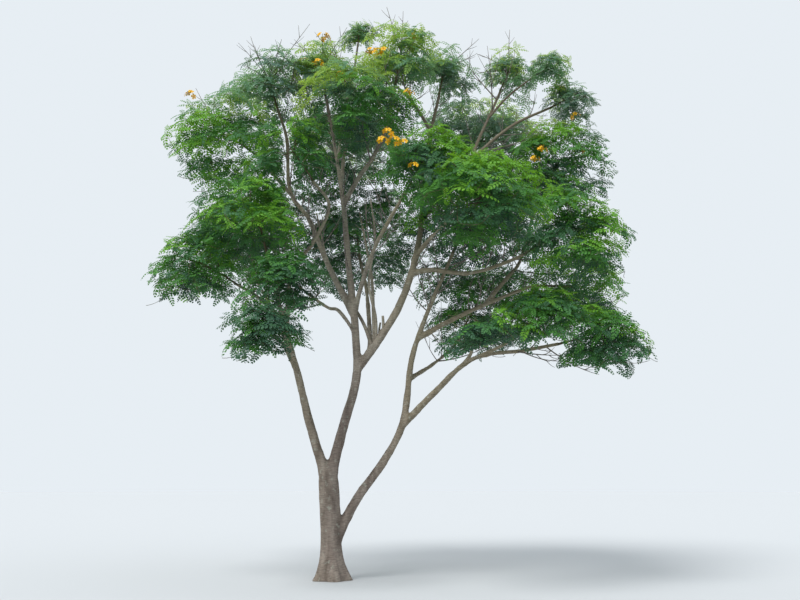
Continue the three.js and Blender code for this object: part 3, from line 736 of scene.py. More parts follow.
# Node helpers. An input is named by its name or number, and a socket given to it is linked
def feed(tree, node, inputs):
    for key, value in inputs.items():
        if isinstance(value, bpy.types.NodeSocket):
            tree.links.new(value, node.inputs[key])
        else:
            node.inputs[key].default_value = value


def addNode(tree, kind, inputs=None, **settings):
    node = tree.nodes.new(kind)
    for key, value in settings.items():
        setattr(node, key, value)
    feed(tree, node, inputs or {})
    return node


def reckon(tree, how, *values, kind="Math"):
    return addNode(tree, "ShaderNode" + kind, dict(enumerate(values)), operation=how).outputs[0]


def noiseAt(tree, place, scale, detail, stretch=(1, 1, 1)):
    drawn = reckon(tree, "MULTIPLY", place, stretch, kind="VectorMath")
    noise = addNode(tree, "ShaderNodeTexNoise", {"Vector": drawn, "Scale": scale, "Detail": detail})
    return noise.outputs["Fac"]


def attributeNode(tree, label, kind):
    node = addNode(tree, "GeometryNodeInputNamedAttribute", {"Name": label}, data_type=kind)
    return node.outputs["Attribute"]


def newGeometryTree(name, sockets):
    tree = bpy.data.node_groups.new(name, "GeometryNodeTree")
    tree.interface.new_socket("Geometry", in_out="INPUT", socket_type="NodeSocketGeometry")
    for label, kind in sockets.items():
        tree.interface.new_socket(label, in_out="INPUT", socket_type="NodeSocket" + kind)
    tree.interface.new_socket("Geometry", in_out="OUTPUT", socket_type="NodeSocketGeometry")
    return tree, addNode(tree, "NodeGroupInput").outputs


def finishTree(tree, geometry, material):  # every tree ends with real geometry and its material
    real = addNode(tree, "GeometryNodeRealizeInstances", {"Geometry": geometry})
    painted = addNode(tree, "GeometryNodeSetMaterial", {"Geometry": real.outputs[0], "Material": material})
    addNode(tree, "NodeGroupOutput", {"Geometry": painted.outputs[0]})
    return tree


def addModifier(target, tree, values):  # sets the tree's named inputs by their identifiers
    modifier = target.modifiers.new(tree.name, "NODES")
    modifier.node_group = tree
    for item in tree.interface.items_tree:
        if item.in_out == "INPUT" and item.name in values:
            modifier[item.identifier] = values[item.name]


def plainPiece(name, source):  # the evaluated object as a plain mesh of its own
    graph = bpy.context.evaluated_depsgraph_get()
    mesh = bpy.data.meshes.new_from_object(
        source.evaluated_get(graph), preserve_all_data_layers=True, depsgraph=graph)
    mesh.name = name
    keepLayers = {"position", "material_index", "sharp_face", "UVMap"}
    for layer in [a.name for a in mesh.attributes if a.name not in keepLayers and not a.name.startswith(".")]:
        mesh.attributes.remove(mesh.attributes[layer])
    bpy.data.objects.remove(source)
    return newObject(name, mesh)


def newObject(name, mesh):
    made = bpy.data.objects.new(name, mesh)
    bpy.context.scene.collection.objects.link(made)
    return made


def linesMesh(name, lines):  # lines as loose edges that carry their radii
    points = np.concatenate([line for line, _ in lines])
    radii = np.concatenate([radius for _, radius in lines])
    edges, first = [], 0
    for line, _ in lines:
        edges += [(first + i, first + i + 1) for i in range(len(line) - 1)]
        first += len(line)
    mesh = bpy.data.meshes.new(name)
    mesh.from_pydata(points.tolist(), edges, [])
    layer = mesh.attributes.new("thick", "FLOAT", "POINT")
    layer.data.foreach_set("value", radii.astype(np.float32))
    return mesh


def tubesFrom(tree, lines, sides):  # tubes along the lines, as thick as they say
    curve = addNode(tree, "GeometryNodeMeshToCurve", {"Mesh": lines})
    profile = addNode(tree, "GeometryNodeCurvePrimitiveCircle", {"Resolution": sides, "Radius": 1.0})
    return addNode(tree, "GeometryNodeCurveToMesh", {
        "Curve": curve.outputs[0], "Profile Curve": profile.outputs[0],
        "Scale": attributeNode(tree, "thick", "FLOAT"), "Fill Caps": True,
    }).outputs[0]


def twigTree():
    tree, given = newGeometryTree("growTwigs", {"Sides": "Int", "Material": "Material"})
    tubes = tubesFrom(tree, given["Geometry"], given["Sides"])
    smooth = addNode(tree, "GeometryNodeSetShadeSmooth", {"Geometry": tubes, "Shade Smooth": True})
    return finishTree(tree, smooth.outputs[0], given["Material"])


def limbTree():
    tree, given = newGeometryTree("growLimbs", {"Sides": "Int", "Bole": "Object", "Material": "Material"})
    tubes = tubesFrom(tree, given["Geometry"], given["Sides"])
    shaft = addNode(tree, "GeometryNodeObjectInfo", {"Object": given["Bole"]})
    joined = addNode(tree, "GeometryNodeJoinGeometry", {"Geometry": tubes})
    tree.links.new(shaft.outputs["Geometry"], joined.inputs["Geometry"])
    return finishTree(tree, joined.outputs[0], given["Material"])


def reliefTree():  # swellings and long shallow grooves along the bark
    sockets = {"Swelling": "Float", "Grooves": "Float", "Material": "Material"}
    tree, given = newGeometryTree("barkRelief", sockets)
    place = addNode(tree, "GeometryNodeInputPosition").outputs[0]
    normal = addNode(tree, "GeometryNodeInputNormal").outputs["Normal"]
    offset = (0, 0, 0)
    for label, scale, stretch in barkMesh["relief"]:
        level = reckon(tree, "SUBTRACT", noiseAt(tree, place, scale, 2.0, (1, 1, stretch)), 0.5)
        share = reckon(tree, "MULTIPLY", level, given[label])
        step = addNode(tree, "ShaderNodeVectorMath", {0: normal, "Scale": share}, operation="SCALE")
        offset = reckon(tree, "ADD", offset, step.outputs[0], kind="VectorMath")
    moved = addNode(tree, "GeometryNodeSetPosition", {"Geometry": given["Geometry"], "Offset": offset})
    smooth = addNode(tree, "GeometryNodeSetShadeSmooth", {"Geometry": moved.outputs[0], "Shade Smooth": True})
    return finishTree(tree, smooth.outputs[0], given["Material"])


# What each scattered point says, after its place
spotLayers = {"heading": "FLOAT_VECTOR", "facing": "FLOAT_VECTOR", "size": "FLOAT", "kind": "INT"}


def scatterTree():  # one of the shapes at each point, turned and sized as the point says
    tree, given = newGeometryTree("scatterShapes", {"Shapes": "Collection", "Material": "Material"})
    shapes = addNode(tree, "GeometryNodeCollectionInfo", {
        "Collection": given["Shapes"], "Separate Children": True, "Reset Children": True,
    })
    read = {label: attributeNode(tree, label, kind) for label, kind in spotLayers.items()}
    rotation = addNode(tree, "FunctionNodeAxesToRotation", {
        "Primary Axis": read["heading"], "Secondary Axis": read["facing"],
    }, primary_axis="X", secondary_axis="Z")
    points = addNode(tree, "GeometryNodeMeshToPoints", {"Mesh": given["Geometry"]})
    placed = addNode(tree, "GeometryNodeInstanceOnPoints", {
        "Points": points.outputs[0], "Instance": shapes.outputs[0], "Pick Instance": True,
        "Instance Index": read["kind"], "Rotation": rotation.outputs[0], "Scale": read["size"],
    })
    return finishTree(tree, placed.outputs[0], given["Material"])


def scatterPiece(name, tree, shapes, spots, material):  # spots: a place, and then what spotLayers says
    mesh = bpy.data.meshes.new(name)
    mesh.from_pydata([spot[0] for spot in spots], [], [])
    for column, (label, kind) in enumerate(spotLayers.items(), 1):
        layer = mesh.attributes.new(label, kind, "POINT")
        values = np.array([spot[column] for spot in spots], np.int32 if kind == "INT" else np.float32)
        layer.data.foreach_set("vector" if kind == "FLOAT_VECTOR" else "value", values.ravel())
    source = newObject(name + "_points", mesh)
    addModifier(source, tree, {"Shapes": shapes, "Material": material})
    return plainPiece(name, source)


# The bark mesh: voxel size, rings along a limb, collars where a limb leaves its carrier,
# the radius below which a limb is drawn with the young boughs, the relief's heights with
# each one's noise scale and stretch, and how far the bole starts under the ground
barkMesh = {
    "voxel": 0.0223, "ringStep": 0.05, "fewestRings": 6, "sides": 18, "collar": 0.34, "collarReach": 1.3,
    "collarEnd": 3, "withinCarrier": 0.97, "thinnest": 0.033, "thinShare": 0.98, "overlap": 3,
    "soften": 0.5, "smoothing": 4, "swelling": 0.03, "grooves": 0.011,
    "relief": (("Swelling", 5.0, 0.5), ("Grooves", 34.0, 0.16)),
    "boleSides": 64, "boleRings": 40, "buried": 0.05, "cutAt": 0.0005,
}


def boleMesh():  # the bole from a little under the ground, to be cut flat there
    sides, rings, buried = barkMesh["boleSides"], barkMesh["boleRings"], barkMesh["buried"]
    verts, faces = [], []
    for ring in range(rings + 1):
        height = -buried + (bole["height"] + buried) * ring / rings
        middle = boleMiddle(max(height, 0))
        for k in range(sides):
            angle = 2 * math.pi * k / sides
            radius = boleRadius(max(height, 0), angle)
            verts.append((middle[0] + radius * math.cos(angle), middle[1] + radius * math.sin(angle), height))
    for ring in range(rings):
        for k in range(sides):
            low, high = ring * sides, (ring + 1) * sides
            faces.append((low + k, low + (k + 1) % sides, high + (k + 1) % sides, high + k))
    faces.append(tuple(reversed(range(sides))))
    faces.append(tuple(range(rings * sides, (rings + 1) * sides)))
    mesh = bpy.data.meshes.new("bole_form")
    mesh.from_pydata(verts, [], faces)
    return mesh


def limbLines(grown):  # every limb in rings, its stout part apart from its thin end
    stout, thin = [], []
    for name, (carrier, start, _, _, _) in limbs.items():
        limb = grown[name]
        count = max(barkMesh["fewestRings"], round(limb["length"] / barkMesh["ringStep"]))
        shares = np.linspace(0, 1, count + 1)
        points = placesOn(limb, shares)
        radii = np.array([limb["radius"](share) for share in shares])
        carrierRadius = grown[carrier]["radius"](start)
        beyond = np.maximum(0, shares * limb["length"] - carrierRadius)
        flared = radii * (1 + barkMesh["collar"] * np.exp(-beyond / (barkMesh["collarReach"] * radii[0])))
        held = np.minimum(flared, barkMesh["withinCarrier"] * carrierRadius)
        flared = np.where(beyond > barkMesh["collarEnd"] * carrierRadius, flared, held)
        last = int(np.sum(radii > barkMesh["thinnest"]))
        if last > barkMesh["overlap"] + 1:
            stout.append((points[:last], flared[:last]))
        first = max(0, last - barkMesh["overlap"])
        thinned = np.minimum(flared[first:], barkMesh["thinnest"] * barkMesh["thinShare"])
        thin.append((points[first:], thinned))
    return stout, thin


def makeBark(grown, material):
    stout, thin = limbLines(grown)
    shaft = newObject("bole_form", boleMesh())
    source = newObject("bark_lines", linesMesh("bark_lines", stout))
    addModifier(source, limbTree(), {"Sides": barkMesh["sides"], "Bole": shaft, "Material": material})
    remesh = source.modifiers.new("join", "REMESH")
    remesh.mode, remesh.voxel_size = "VOXEL", barkMesh["voxel"]
    soften = source.modifiers.new("soften", "SMOOTH")
    soften.factor, soften.iterations = barkMesh["soften"], barkMesh["smoothing"]
    addModifier(source, reliefTree(), {
        "Swelling": barkMesh["swelling"], "Grooves": barkMesh["grooves"], "Material": material,
    })
    piece = plainPiece("bark_of_trunk_and_boughs", source)
    bpy.data.objects.remove(shaft)
    cutFlat(piece.data)
    return piece, thin


def cutFlat(mesh):  # the flat cut at the ground
    form = bmesh.new()
    form.from_mesh(mesh)
    everything = form.verts[:] + form.edges[:] + form.faces[:]
    cut = bmesh.ops.bisect_plane(
        form, geom=everything, plane_co=(0, 0, barkMesh["cutAt"]), plane_no=(0, 0, 1), clear_inner=True)
    rim = [edge for edge in cut["geom_cut"] if isinstance(edge, bmesh.types.BMEdge)]
    bmesh.ops.edgeloop_fill(form, edges=rim)
    for face in form.faces:
        face.smooth = True
    form.to_mesh(mesh)
    form.free()


# A feathery leaf of unit length along +X: pairs of leafy fingers along a bending midrib.
# A finger's outline runs in shares of its length and width, with its arch, and its length
# follows from its place along the leaf. The rib is drawn at three places, ever narrower
leafShape = {
    "pairs": 6, "first": 0.15, "last": 0.95, "finger": 0.29, "lengths": (0.62, 0.75, 0.95, 2.4),
    "width": 0.6, "endFrom": 0.9, "endWidth": 1.15, "sweep": (74, 30), "sweepUneven": 7, "droop": (0.1, 0.25),
    "outline": ((0, 0, 0), (0.55, 0.5, 0.04), (1, 0, -0.05), (0.55, -0.5, 0.04)),
    "rib": 0.016, "ribAt": ((0, 1), (0.5, 0.7), (0.97, 0.3)), "ribMark": (0.02, 0.5),
    "lift": 0.2, "bendPower": 1.2, "bends": (0.55, 0.85, 1.2, 0.7), "turns": (0.1, -0.2, 0.05, 0.3),
    "seed": 31,
}


def spineOf(lift, bend, turn, marks=32):  # the midrib's places and headings by share of its length
    place, places, headings = np.zeros(3), [], []
    for i in range(marks + 1):
        share = i / marks
        pitch = lift - bend * share ** leafShape["bendPower"]
        heading = spoke(turn * share) * math.cos(pitch) + [0, 0, math.sin(pitch)]
        places.append(place)
        headings.append(heading)
        place = place + heading / marks
    places, headings = np.array(places), np.array(headings)
    shares = np.linspace(0, 1, marks + 1)
    return lambda share: (readRows(share, shares, places), unit(readRows(share, shares, headings)))


def shapeMesh(name, verts, faces, marks):  # a mesh whose UV map comes from a mark at each vertex
    mesh = bpy.data.meshes.new(name)
    mesh.from_pydata([tuple(vert) for vert in verts], [], faces)
    layer = mesh.uv_layers.new(name="UVMap")
    corners = np.array([marks[loop.vertex_index] for loop in mesh.loops], np.float32)
    layer.data.foreach_set("uv", corners.ravel())
    return mesh


def stripFaces(first, count):  # the faces of a strip whose vertices run in pairs
    return [(first + 2 * k, first + 2 * k + 1, first + 2 * k + 3, first + 2 * k + 2) for k in range(count)]


def fingerLength(share):
    base, rise, fall, power = leafShape["lengths"]
    return leafShape["finger"] * (base + rise * share - fall * share ** power)


def featherLeaf(name, bend, turn, random):
    spine = spineOf(leafShape["lift"], bend, turn)
    verts, faces, marks = [], [], []
    for i in range(leafShape["pairs"]):
        share = i / (leafShape["pairs"] - 1)
        root, along = spine(between((leafShape["first"], leafShape["last"]), share))
        level = unit(np.cross([0, 0, 1], along))
        up = np.cross(along, level)
        length = fingerLength(share)
        width = leafShape["width"] * length * (1 if share < leafShape["endFrom"] else leafShape["endWidth"])
        for side in (1, -1):
            sweep = between(leafShape["sweep"], share) + leafShape["sweepUneven"] * (random() - 0.5)
            sweep = math.radians(sweep)
            droop = up * fromLeast(leafShape["droop"], random())
            finger = unit(level * side * math.sin(sweep) + along * math.cos(sweep) - droop)
            across = unit(np.cross(up, finger))
            crown = np.cross(finger, across)
            first = len(verts)
            for reach, breadth, arch in leafShape["outline"]:
                place = root + finger * reach * length + across * breadth * width
                verts.append(place + crown * arch * length)
                marks.append((reach, 0.5 + breadth))
            faces.append((first, first + 3, first + 2, first + 1))
    first = len(verts)
    for share, narrowed in leafShape["ribAt"]:
        place, along = spine(share)
        level = unit(np.cross([0, 0, 1], along))
        for side in (0.5, -0.5):
            verts.append(place + level * leafShape["rib"] * side * narrowed)
            marks.append(leafShape["ribMark"])
    faces += stripFaces(first, 2)
    return shapeMesh(name, verts, faces, marks)


# A flower of unit radius facing +X: spoon-shaped petals, in rows of reach and breadth,
# round a few stamens. A bud is a spindle of rings, each of reach, radius and mark
flowerShape = {
    "petals": 5, "petal": ((0.04, 0.05), (0.34, 0.2), (0.66, 0.36), (0.9, 0.3), (1.0, 0.12)),
    "openness": (0.5, 0.8), "turnUneven": 0.15, "twist": 0.25, "cup": 0.5, "rimFall": 0.22, "crumple": 0.08,
    "stamens": 6, "stamenWidth": 0.02, "stamenLength": 0.75, "stamenSpread": (0.3, 0.2),
    "petalMark": (0.25, 0.75), "stamenMark": (0.1, 0.5),
    "budSides": 5, "bud": ((-0.1, 0.24, 0.12), (0.3, 0.2, 0.4)), "budEnds": ((-0.5, 0.05), (0.6, 0.6)),
    "seed": 77,
}


def flowerMesh(name, openness, random):
    verts, faces, marks = [], [], []
    for k in range(flowerShape["petals"]):
        angle = 2 * math.pi * k / flowerShape["petals"] + flowerShape["turnUneven"] * (random() - 0.5)
        outward = np.roll(spoke(angle), 1)
        across = np.cross([1, 0, 0], outward)
        first = len(verts)
        twist = flowerShape["twist"] * (random() - 0.5)
        for reach, breadth in flowerShape["petal"]:
            height = openness * (1 - (1 - reach) ** 2) * flowerShape["cup"]
            height -= flowerShape["rimFall"] * reach ** 3
            for side in (-1, 1):
                rise = height + side * breadth * twist + flowerShape["crumple"] * (random() - 0.5)
                verts.append(outward * reach + across * side * breadth + np.array([rise, 0, 0]))
                marks.append((fromLeast(flowerShape["petalMark"], reach), 0.5 + side * breadth))
        faces += stripFaces(first, len(flowerShape["petal"]) - 1)
    for k in range(flowerShape["stamens"]):
        outward = np.roll(spoke(2 * math.pi * (k + 0.5) / flowerShape["stamens"]), 1)
        across = np.cross([1, 0, 0], outward) * flowerShape["stamenWidth"]
        first = len(verts)
        spread = outward * fromLeast(flowerShape["stamenSpread"], random())
        verts += [across, -across, np.array([flowerShape["stamenLength"], 0, 0]) + spread]
        marks += [flowerShape["stamenMark"]] * 3
        faces.append((first, first + 1, first + 2))
    return shapeMesh(name, verts, faces, marks)


def budMesh(name):
    sides, (low, high) = flowerShape["budSides"], flowerShape["budEnds"]
    verts, faces, marks = [np.array([low[0], 0, 0])], [], [(low[1], 0.5)]
    for reach, radius, mark in flowerShape["bud"]:
        for k in range(sides):
            verts.append(np.roll(spoke(2 * math.pi * k / sides), 1) * radius + np.array([reach, 0, 0]))
            marks.append((mark, 0.5))
    verts.append(np.array([high[0], 0, 0]))
    marks.append((high[1], 0.5))
    for k in range(sides):
        near, after = 1 + k, 1 + (k + 1) % sides
        faces += [(0, after, near), (near, after, after + sides, near + sides)]
        faces.append((near + sides, after + sides, 2 * sides + 1))
    return shapeMesh(name, verts, faces, marks)


def shapeCollection(name, meshes):
    kept = bpy.data.collections.new(name)
    for mesh in meshes:
        kept.objects.link(bpy.data.objects.new(mesh.name, mesh))
    return kept


def removeShapes(kept):
    for shape in list(kept.objects):
        bpy.data.objects.remove(shape)
    bpy.data.collections.remove(kept)


# Leaves in a rosette: how many, how they lean from its axis from the youngest to the
# oldest, and their length. A leaf whose tip leaves the crown or the box is shortened, or
# left out. A leaf's own light differs a little from its rosette's
rosetteLeaves = {
    "count": (6, 9), "lean": (48, 102), "leanPower": 0.7, "leanUneven": 16, "turnUneven": 0.4,
    "rise": 0.1, "roll": 0.2, "length": (0.25, 0.39), "byVigour": 0.75, "byChance": 0.25,
    "youngShare": 0.64, "agePower": 0.6, "lightUneven": 0.06, "tip": (0.94, 0.94, 0.9), "tipSag": 0.03,
    "outreach": 1.04, "boxAllowance": 0.1, "shortened": 0.74, "seed": 9001,
}

# Lit and shaded copies of one leaf colour, dealt out by the painted light of a leaf's pad:
# the least painted light of each kind. Above a height the crest's leaves are of paler
# kinds, painted sky light shining through them
leafKinds = {
    "leaves_deep": -1.0, "leaves_shade": 0.26, "leaves_green": 0.4, "leaves_fresh": 0.58,
    "leaves_bright": 0.78,
}
crestKinds = {"leaves_crest_shade": -1.0, "leaves_crest": 0.42, "leaves_crest_bright": 0.68}
crestFrom = 8.3


# Wood that the photograph shows in front of the leaves: where it is seen from, and each
# stretch's limb, from and to along it, and how near the line of sight a leaf may come
shownWood = {
    "seenFrom": (1.68, -15.0, 1.6), "probes": 24, "leafShares": (0.3, 0.65, 1.0),
    "stretches": [
        ("right_mid_bough", 0.0, 0.55, 0.15), ("right_low_bough", 0.1, 0.74, 0.14),
        ("crown_bough", 0.0, 0.62, 0.13), ("middle_left_bough", 0.3, 0.6, 0.11),
        ("middle_left_bough", 0.62, 1.0, 0.075), ("middle_stem", 0.86, 1.0, 0.06)],
}


def hidesWood(points, grown):  # which of the points would hide a shown stretch of wood
    eye = np.array(shownWood["seenFrom"])
    lines = points - eye
    hidden = np.zeros(len(points), bool)
    for name, first, last, clearance in shownWood["stretches"]:
        for share in np.linspace(first, last, shownWood["probes"]):
            wood = grown[name]["at"](share) - eye
            far = np.linalg.norm(wood)
            ahead = lines @ (wood / far)
            aside = np.linalg.norm(lines - np.outer(ahead, wood / far), axis=1)
            hidden |= (ahead < far) & (aside < clearance)
    return hidden


def rosetteSpots(rosette, random):  # each leaf's place, heading, upper side, length, shape and light
    axis, spots = rosette["axis"], []
    level = unit(np.cross(axis, [0.3, 1, 0.2]))
    count = round(between(rosetteLeaves["count"], random()))
    turn = random() * 2 * math.pi
    for k in range(count):
        age = (k + 0.5) / count
        around = turn + k * goldenTurn + rosetteLeaves["turnUneven"] * (random() - 0.5)
        aside = turned(level, axis, around)
        lean = between(rosetteLeaves["lean"], age ** rosetteLeaves["leanPower"])
        lean = math.radians(lean + rosetteLeaves["leanUneven"] * (random() - 0.5))
        heading = axis * math.cos(lean) + aside * math.sin(lean)
        heading = unit(heading + [0, 0, rosetteLeaves["rise"] * (random() - 0.5)])
        roll = aside * rosetteLeaves["roll"] * (random() - 0.5)
        facing = unit(axis - heading * np.dot(axis, heading) + roll)
        share = rosette["vigour"] * rosetteLeaves["byVigour"] + rosetteLeaves["byChance"] * random()
        length = between(rosetteLeaves["length"], share)
        length *= between((rosetteLeaves["youngShare"], 1), age ** rosetteLeaves["agePower"])
        shape = int(random() * len(leafShape["bends"]))
        light = rosette["light"] + rosetteLeaves["lightUneven"] * (random() - 0.5)
        spots.append((rosette["at"], heading, facing, length, shape, light))
    return spots


def dealLeaves(rosettes, grown):  # every leaf that stays, by kind
    random = seededRandom(rosetteLeaves["seed"])
    spots = [spot for rosette in rosettes for spot in rosetteSpots(rosette, random)]
    places, headings, lengths = (np.array([spot[column] for spot in spots]) for column in (0, 1, 3))
    low = np.array(cadBox[0]) - rosetteLeaves["boxAllowance"]
    high = np.array(cadBox[1]) + rosetteLeaves["boxAllowance"]
    kept = np.zeros(len(spots), bool)
    for share in (1.0, rosetteLeaves["shortened"]):
        tips = places + headings * (lengths * share)[:, None] * rosetteLeaves["tip"]
        tips = tips - [0, 0, rosetteLeaves["tipSag"]]
        fits = (massesReach(tips) < rosetteLeaves["outreach"]) & np.all((tips > low) & (tips < high), axis=1)
        lengths[fits & ~kept] *= share
        kept |= fits
    for share in shownWood["leafShares"]:
        kept &= ~hidesWood(places + headings * (lengths * share)[:, None], grown)
    dealt = {name: [] for name in (*leafKinds, *crestKinds)}
    for (place, heading, facing, _, shape, light), length, keep in zip(spots, lengths, kept):
        if keep:
            kinds = crestKinds if place[2] > crestFrom else leafKinds
            kind = [name for name, least in kinds.items() if light >= least][-1]
            dealt[kind].append((place, heading, facing, float(length), shape))
    return dealt


# Open flowers in a loose head: how far they lean from its axis, their size, and how far
# out they sit for each flower in the head. Buds stand at its middle. Pairs are a least
# value and a span
headShape = {
    "lean": (0.35, 0.9), "size": (0.05, 0.009), "reach": (0.05, 0.012), "uneven": 0.02,
    "buds": 4, "budTurn": 1.9, "budAside": 0.022, "budHeight": (0.07, 0.018), "budUp": 1.6, "budSize": 0.02,
    "seed": 4242,
}


def dealFlowers(blossoms):
    random = seededRandom(headShape["seed"])
    openKinds, spots = len(flowerShape["openness"]), []
    for head in blossoms:
        turn, count = random() * 2 * math.pi, head["count"]
        for k in range(count):
            lean = fromLeast(headShape["lean"], math.sqrt((k + 0.5) / count))
            facing = spoke(turn + k * goldenTurn) * math.sin(lean) + [0, 0, math.cos(lean)]
            size = fromLeast(headShape["size"], random())
            lift = [0, 0, headShape["uneven"] * (random() - 0.5)]
            place = head["at"] + facing * fromLeast(headShape["reach"], count) + lift
            across = unit(np.cross(facing, [0.2, 0.4, 1]))
            spots.append((place, facing, across, size, int(random() * openKinds)))
        for k in range(headShape["buds"]):
            aside = spoke(turn + 1 + k * headShape["budTurn"])
            place = head["at"] + aside * headShape["budAside"] + [0, 0, fromLeast(headShape["budHeight"], k)]
            upright = unit(aside + [0, 0, headShape["budUp"]])
            spots.append((place, upright, np.array([1.0, 0, 0]), headShape["budSize"], openKinds))
    return spots


# Material helpers. Colours are linear
def solid(colour):
    return (*colour, 1)


def ramp(tree, value, places, colours):
    node = addNode(tree, "ShaderNodeValToRGB", {"Fac": value})
    while len(node.color_ramp.elements) < len(places):
        node.color_ramp.elements.new(0.5)
    for element, place, colour in zip(node.color_ramp.elements, places, colours):
        element.position = place
        element.color = solid(colour)
    return node.outputs["Color"]


def mixColour(tree, share, first, second, how="MIX"):
    node = addNode(tree, "ShaderNodeMix", {0: share, 6: first, 7: second}, data_type="RGBA", blend_type=how)
    return node.outputs[2]


def mapped(tree, value, start=(0, 1), to=(0, 1)):
    return addNode(tree, "ShaderNodeMapRange", {
        "Value": value, "From Min": start[0], "From Max": start[1], "To Min": to[0], "To Max": to[1],
    }).outputs[0]


def bumped(tree, heights, strength, distance):
    return addNode(tree, "ShaderNodeBump", {
        "Height": heights, "Strength": strength, "Distance": distance,
    }).outputs[0]


def newMaterial(name):
    material = bpy.data.materials.new(name)
    material.use_nodes = True
    tree = material.node_tree
    shader = tree.nodes["Principled BSDF"]
    return material, tree, shader, tree.nodes["Material Output"]


# Bark: the stems' streaks from dark to pale, olive patches that grow with height, partly
# the bark's own tone and partly painted sky light on the upper stems, tan away from the
# grey middle stem's axis, lichen spots, bands across, and painted shade on the backlit
# wood at the top. Each noise is its scale, detail and stretch
barkLook = {
    "streaks": (9, 6, (1, 1, 0.22)), "patches": (2.6, 3), "spots": (13, 4),
    "bands": (30, 3, (0.4, 0.4, 2.6)), "grain": (60, 5, (1, 1, 0.35)), "streakPlaces": (0.3, 0.5, 0.7),
    "dark": (0.105, 0.076, 0.064), "middle": (0.215, 0.168, 0.143), "pale": (0.32, 0.265, 0.226),
    # painted sky light in part: the pale olive, mixed in more with height, is partly the bark's own tone and
    # partly painted light on the upper stems
    "olive": (0.41, 0.42, 0.31), "oliveAndSkyLightHeights": (2.6, 6.8), "oliveAndSkyLightShares": (0.1, 0.85),
    "tan": (0.235, 0.205, 0.125), "greyAxis": (-0.3, 0, 0), "tanReach": (0.3, 1.2), "tanShare": 0.6,
    "lichen": (0.39, 0.395, 0.33), "lichenFrom": (0.58, 0.7), "lichenShare": 0.6,
    "bandPlaces": (0.38, 0.56), "bandShades": ((0.72, 0.72, 0.72), (1.04, 1.04, 1.04)),
    # painted shade: the backlit wood at the top is darkened towards the dark bark colour
    "backlitShadeHeights": (7.3, 8.7), "backlitShadeShare": 0.62,
    "roughness": (0.78, 0.95), "bump": (0.55, 0.006), "specular": 0.25,
}


def barkMaterial(name, oliveShare):
    material, tree, shader, _ = newMaterial(name)
    place = addNode(tree, "ShaderNodeTexCoord").outputs["Object"]
    height = addNode(tree, "ShaderNodeSeparateXYZ", {0: place}).outputs["Z"]
    streaks = noiseAt(tree, place, *barkLook["streaks"])
    tones = [barkLook[tone] for tone in ("dark", "middle", "pale")]
    colour = ramp(tree, streaks, barkLook["streakPlaces"], tones)
    # olive patches grow with height, partly the bark's own tone and partly painted sky light on the upper
    # stems
    shares = [share * oliveShare for share in barkLook["oliveAndSkyLightShares"]]
    upward = mapped(tree, height, barkLook["oliveAndSkyLightHeights"], shares)
    olive = reckon(tree, "MULTIPLY", upward, noiseAt(tree, place, *barkLook["patches"]))
    colour = mixColour(tree, olive, colour, solid(barkLook["olive"]))
    flat = reckon(tree, "MULTIPLY_ADD", place, (1, 1, 0), barkLook["greyAxis"], kind="VectorMath")
    away = addNode(tree, "ShaderNodeVectorMath", {0: flat}, operation="LENGTH").outputs["Value"]
    aside = mapped(tree, away, barkLook["tanReach"], (0, barkLook["tanShare"] * oliveShare))
    colour = mixColour(tree, aside, colour, solid(barkLook["tan"]))
    spots = noiseAt(tree, place, *barkLook["spots"])
    spots = mapped(tree, spots, barkLook["lichenFrom"], (0, barkLook["lichenShare"]))
    colour = mixColour(tree, spots, colour, solid(barkLook["lichen"]))
    bands = noiseAt(tree, place, *barkLook["bands"])
    shade = ramp(tree, bands, barkLook["bandPlaces"], barkLook["bandShades"])
    colour = mixColour(tree, 1.0, colour, shade, "MULTIPLY")
    # painted shade: the wood is darker towards the top, where it stands backlit against the sky
    paintedBacklitShade = mapped(tree, height, barkLook["backlitShadeHeights"], (0, barkLook["backlitShadeShare"]))
    heights = reckon(tree, "ADD", bands, noiseAt(tree, place, *barkLook["grain"]))
    feed(tree, shader, {
        "Base Color": mixColour(tree, paintedBacklitShade, colour, solid(barkLook["dark"])),
        "Roughness": mapped(tree, streaks, to=barkLook["roughness"]),
        "Normal": bumped(tree, heights, *barkLook["bump"]), "Specular IOR Level": barkLook["specular"],
    })
    return material


# Each kind of leaf: its colour, painted light and shade from deep shade to highlight, the
# crest's paler with painted sky light, and how much light shines through it
leafColours = {
    "leaves_deep": ((0.032, 0.092, 0.062), 0.26),
    "leaves_shade": ((0.043, 0.128, 0.068), 0.28),
    "leaves_green": ((0.050, 0.166, 0.064), 0.28),
    "leaves_fresh": ((0.062, 0.220, 0.040), 0.3),
    "leaves_bright": ((0.130, 0.350, 0.034), 0.32),
    "leaves_crest_shade": ((0.105, 0.210, 0.180), 0.42),
    "leaves_crest": ((0.130, 0.290, 0.180), 0.44),
    "leaves_crest_bright": ((0.225, 0.405, 0.100), 0.42),
}

# What all leaves share: mottle, dark seams between leaflets, and the light through them
leafLook = {
    "mottle": (5.5, 3), "mottlePlaces": (0.34, 0.5, 0.66), "spread": 0.28, "warmer": 1.5,
    "leaflets": 9, "seamFrom": (0.2, 1.0), "seam": 0.28, "seamDark": 0.3,
    "roughness": (0.44, 0.64), "bump": (0.3, 0.001), "specular": 0.35, "through": (2.2, 1.7, 1),
}


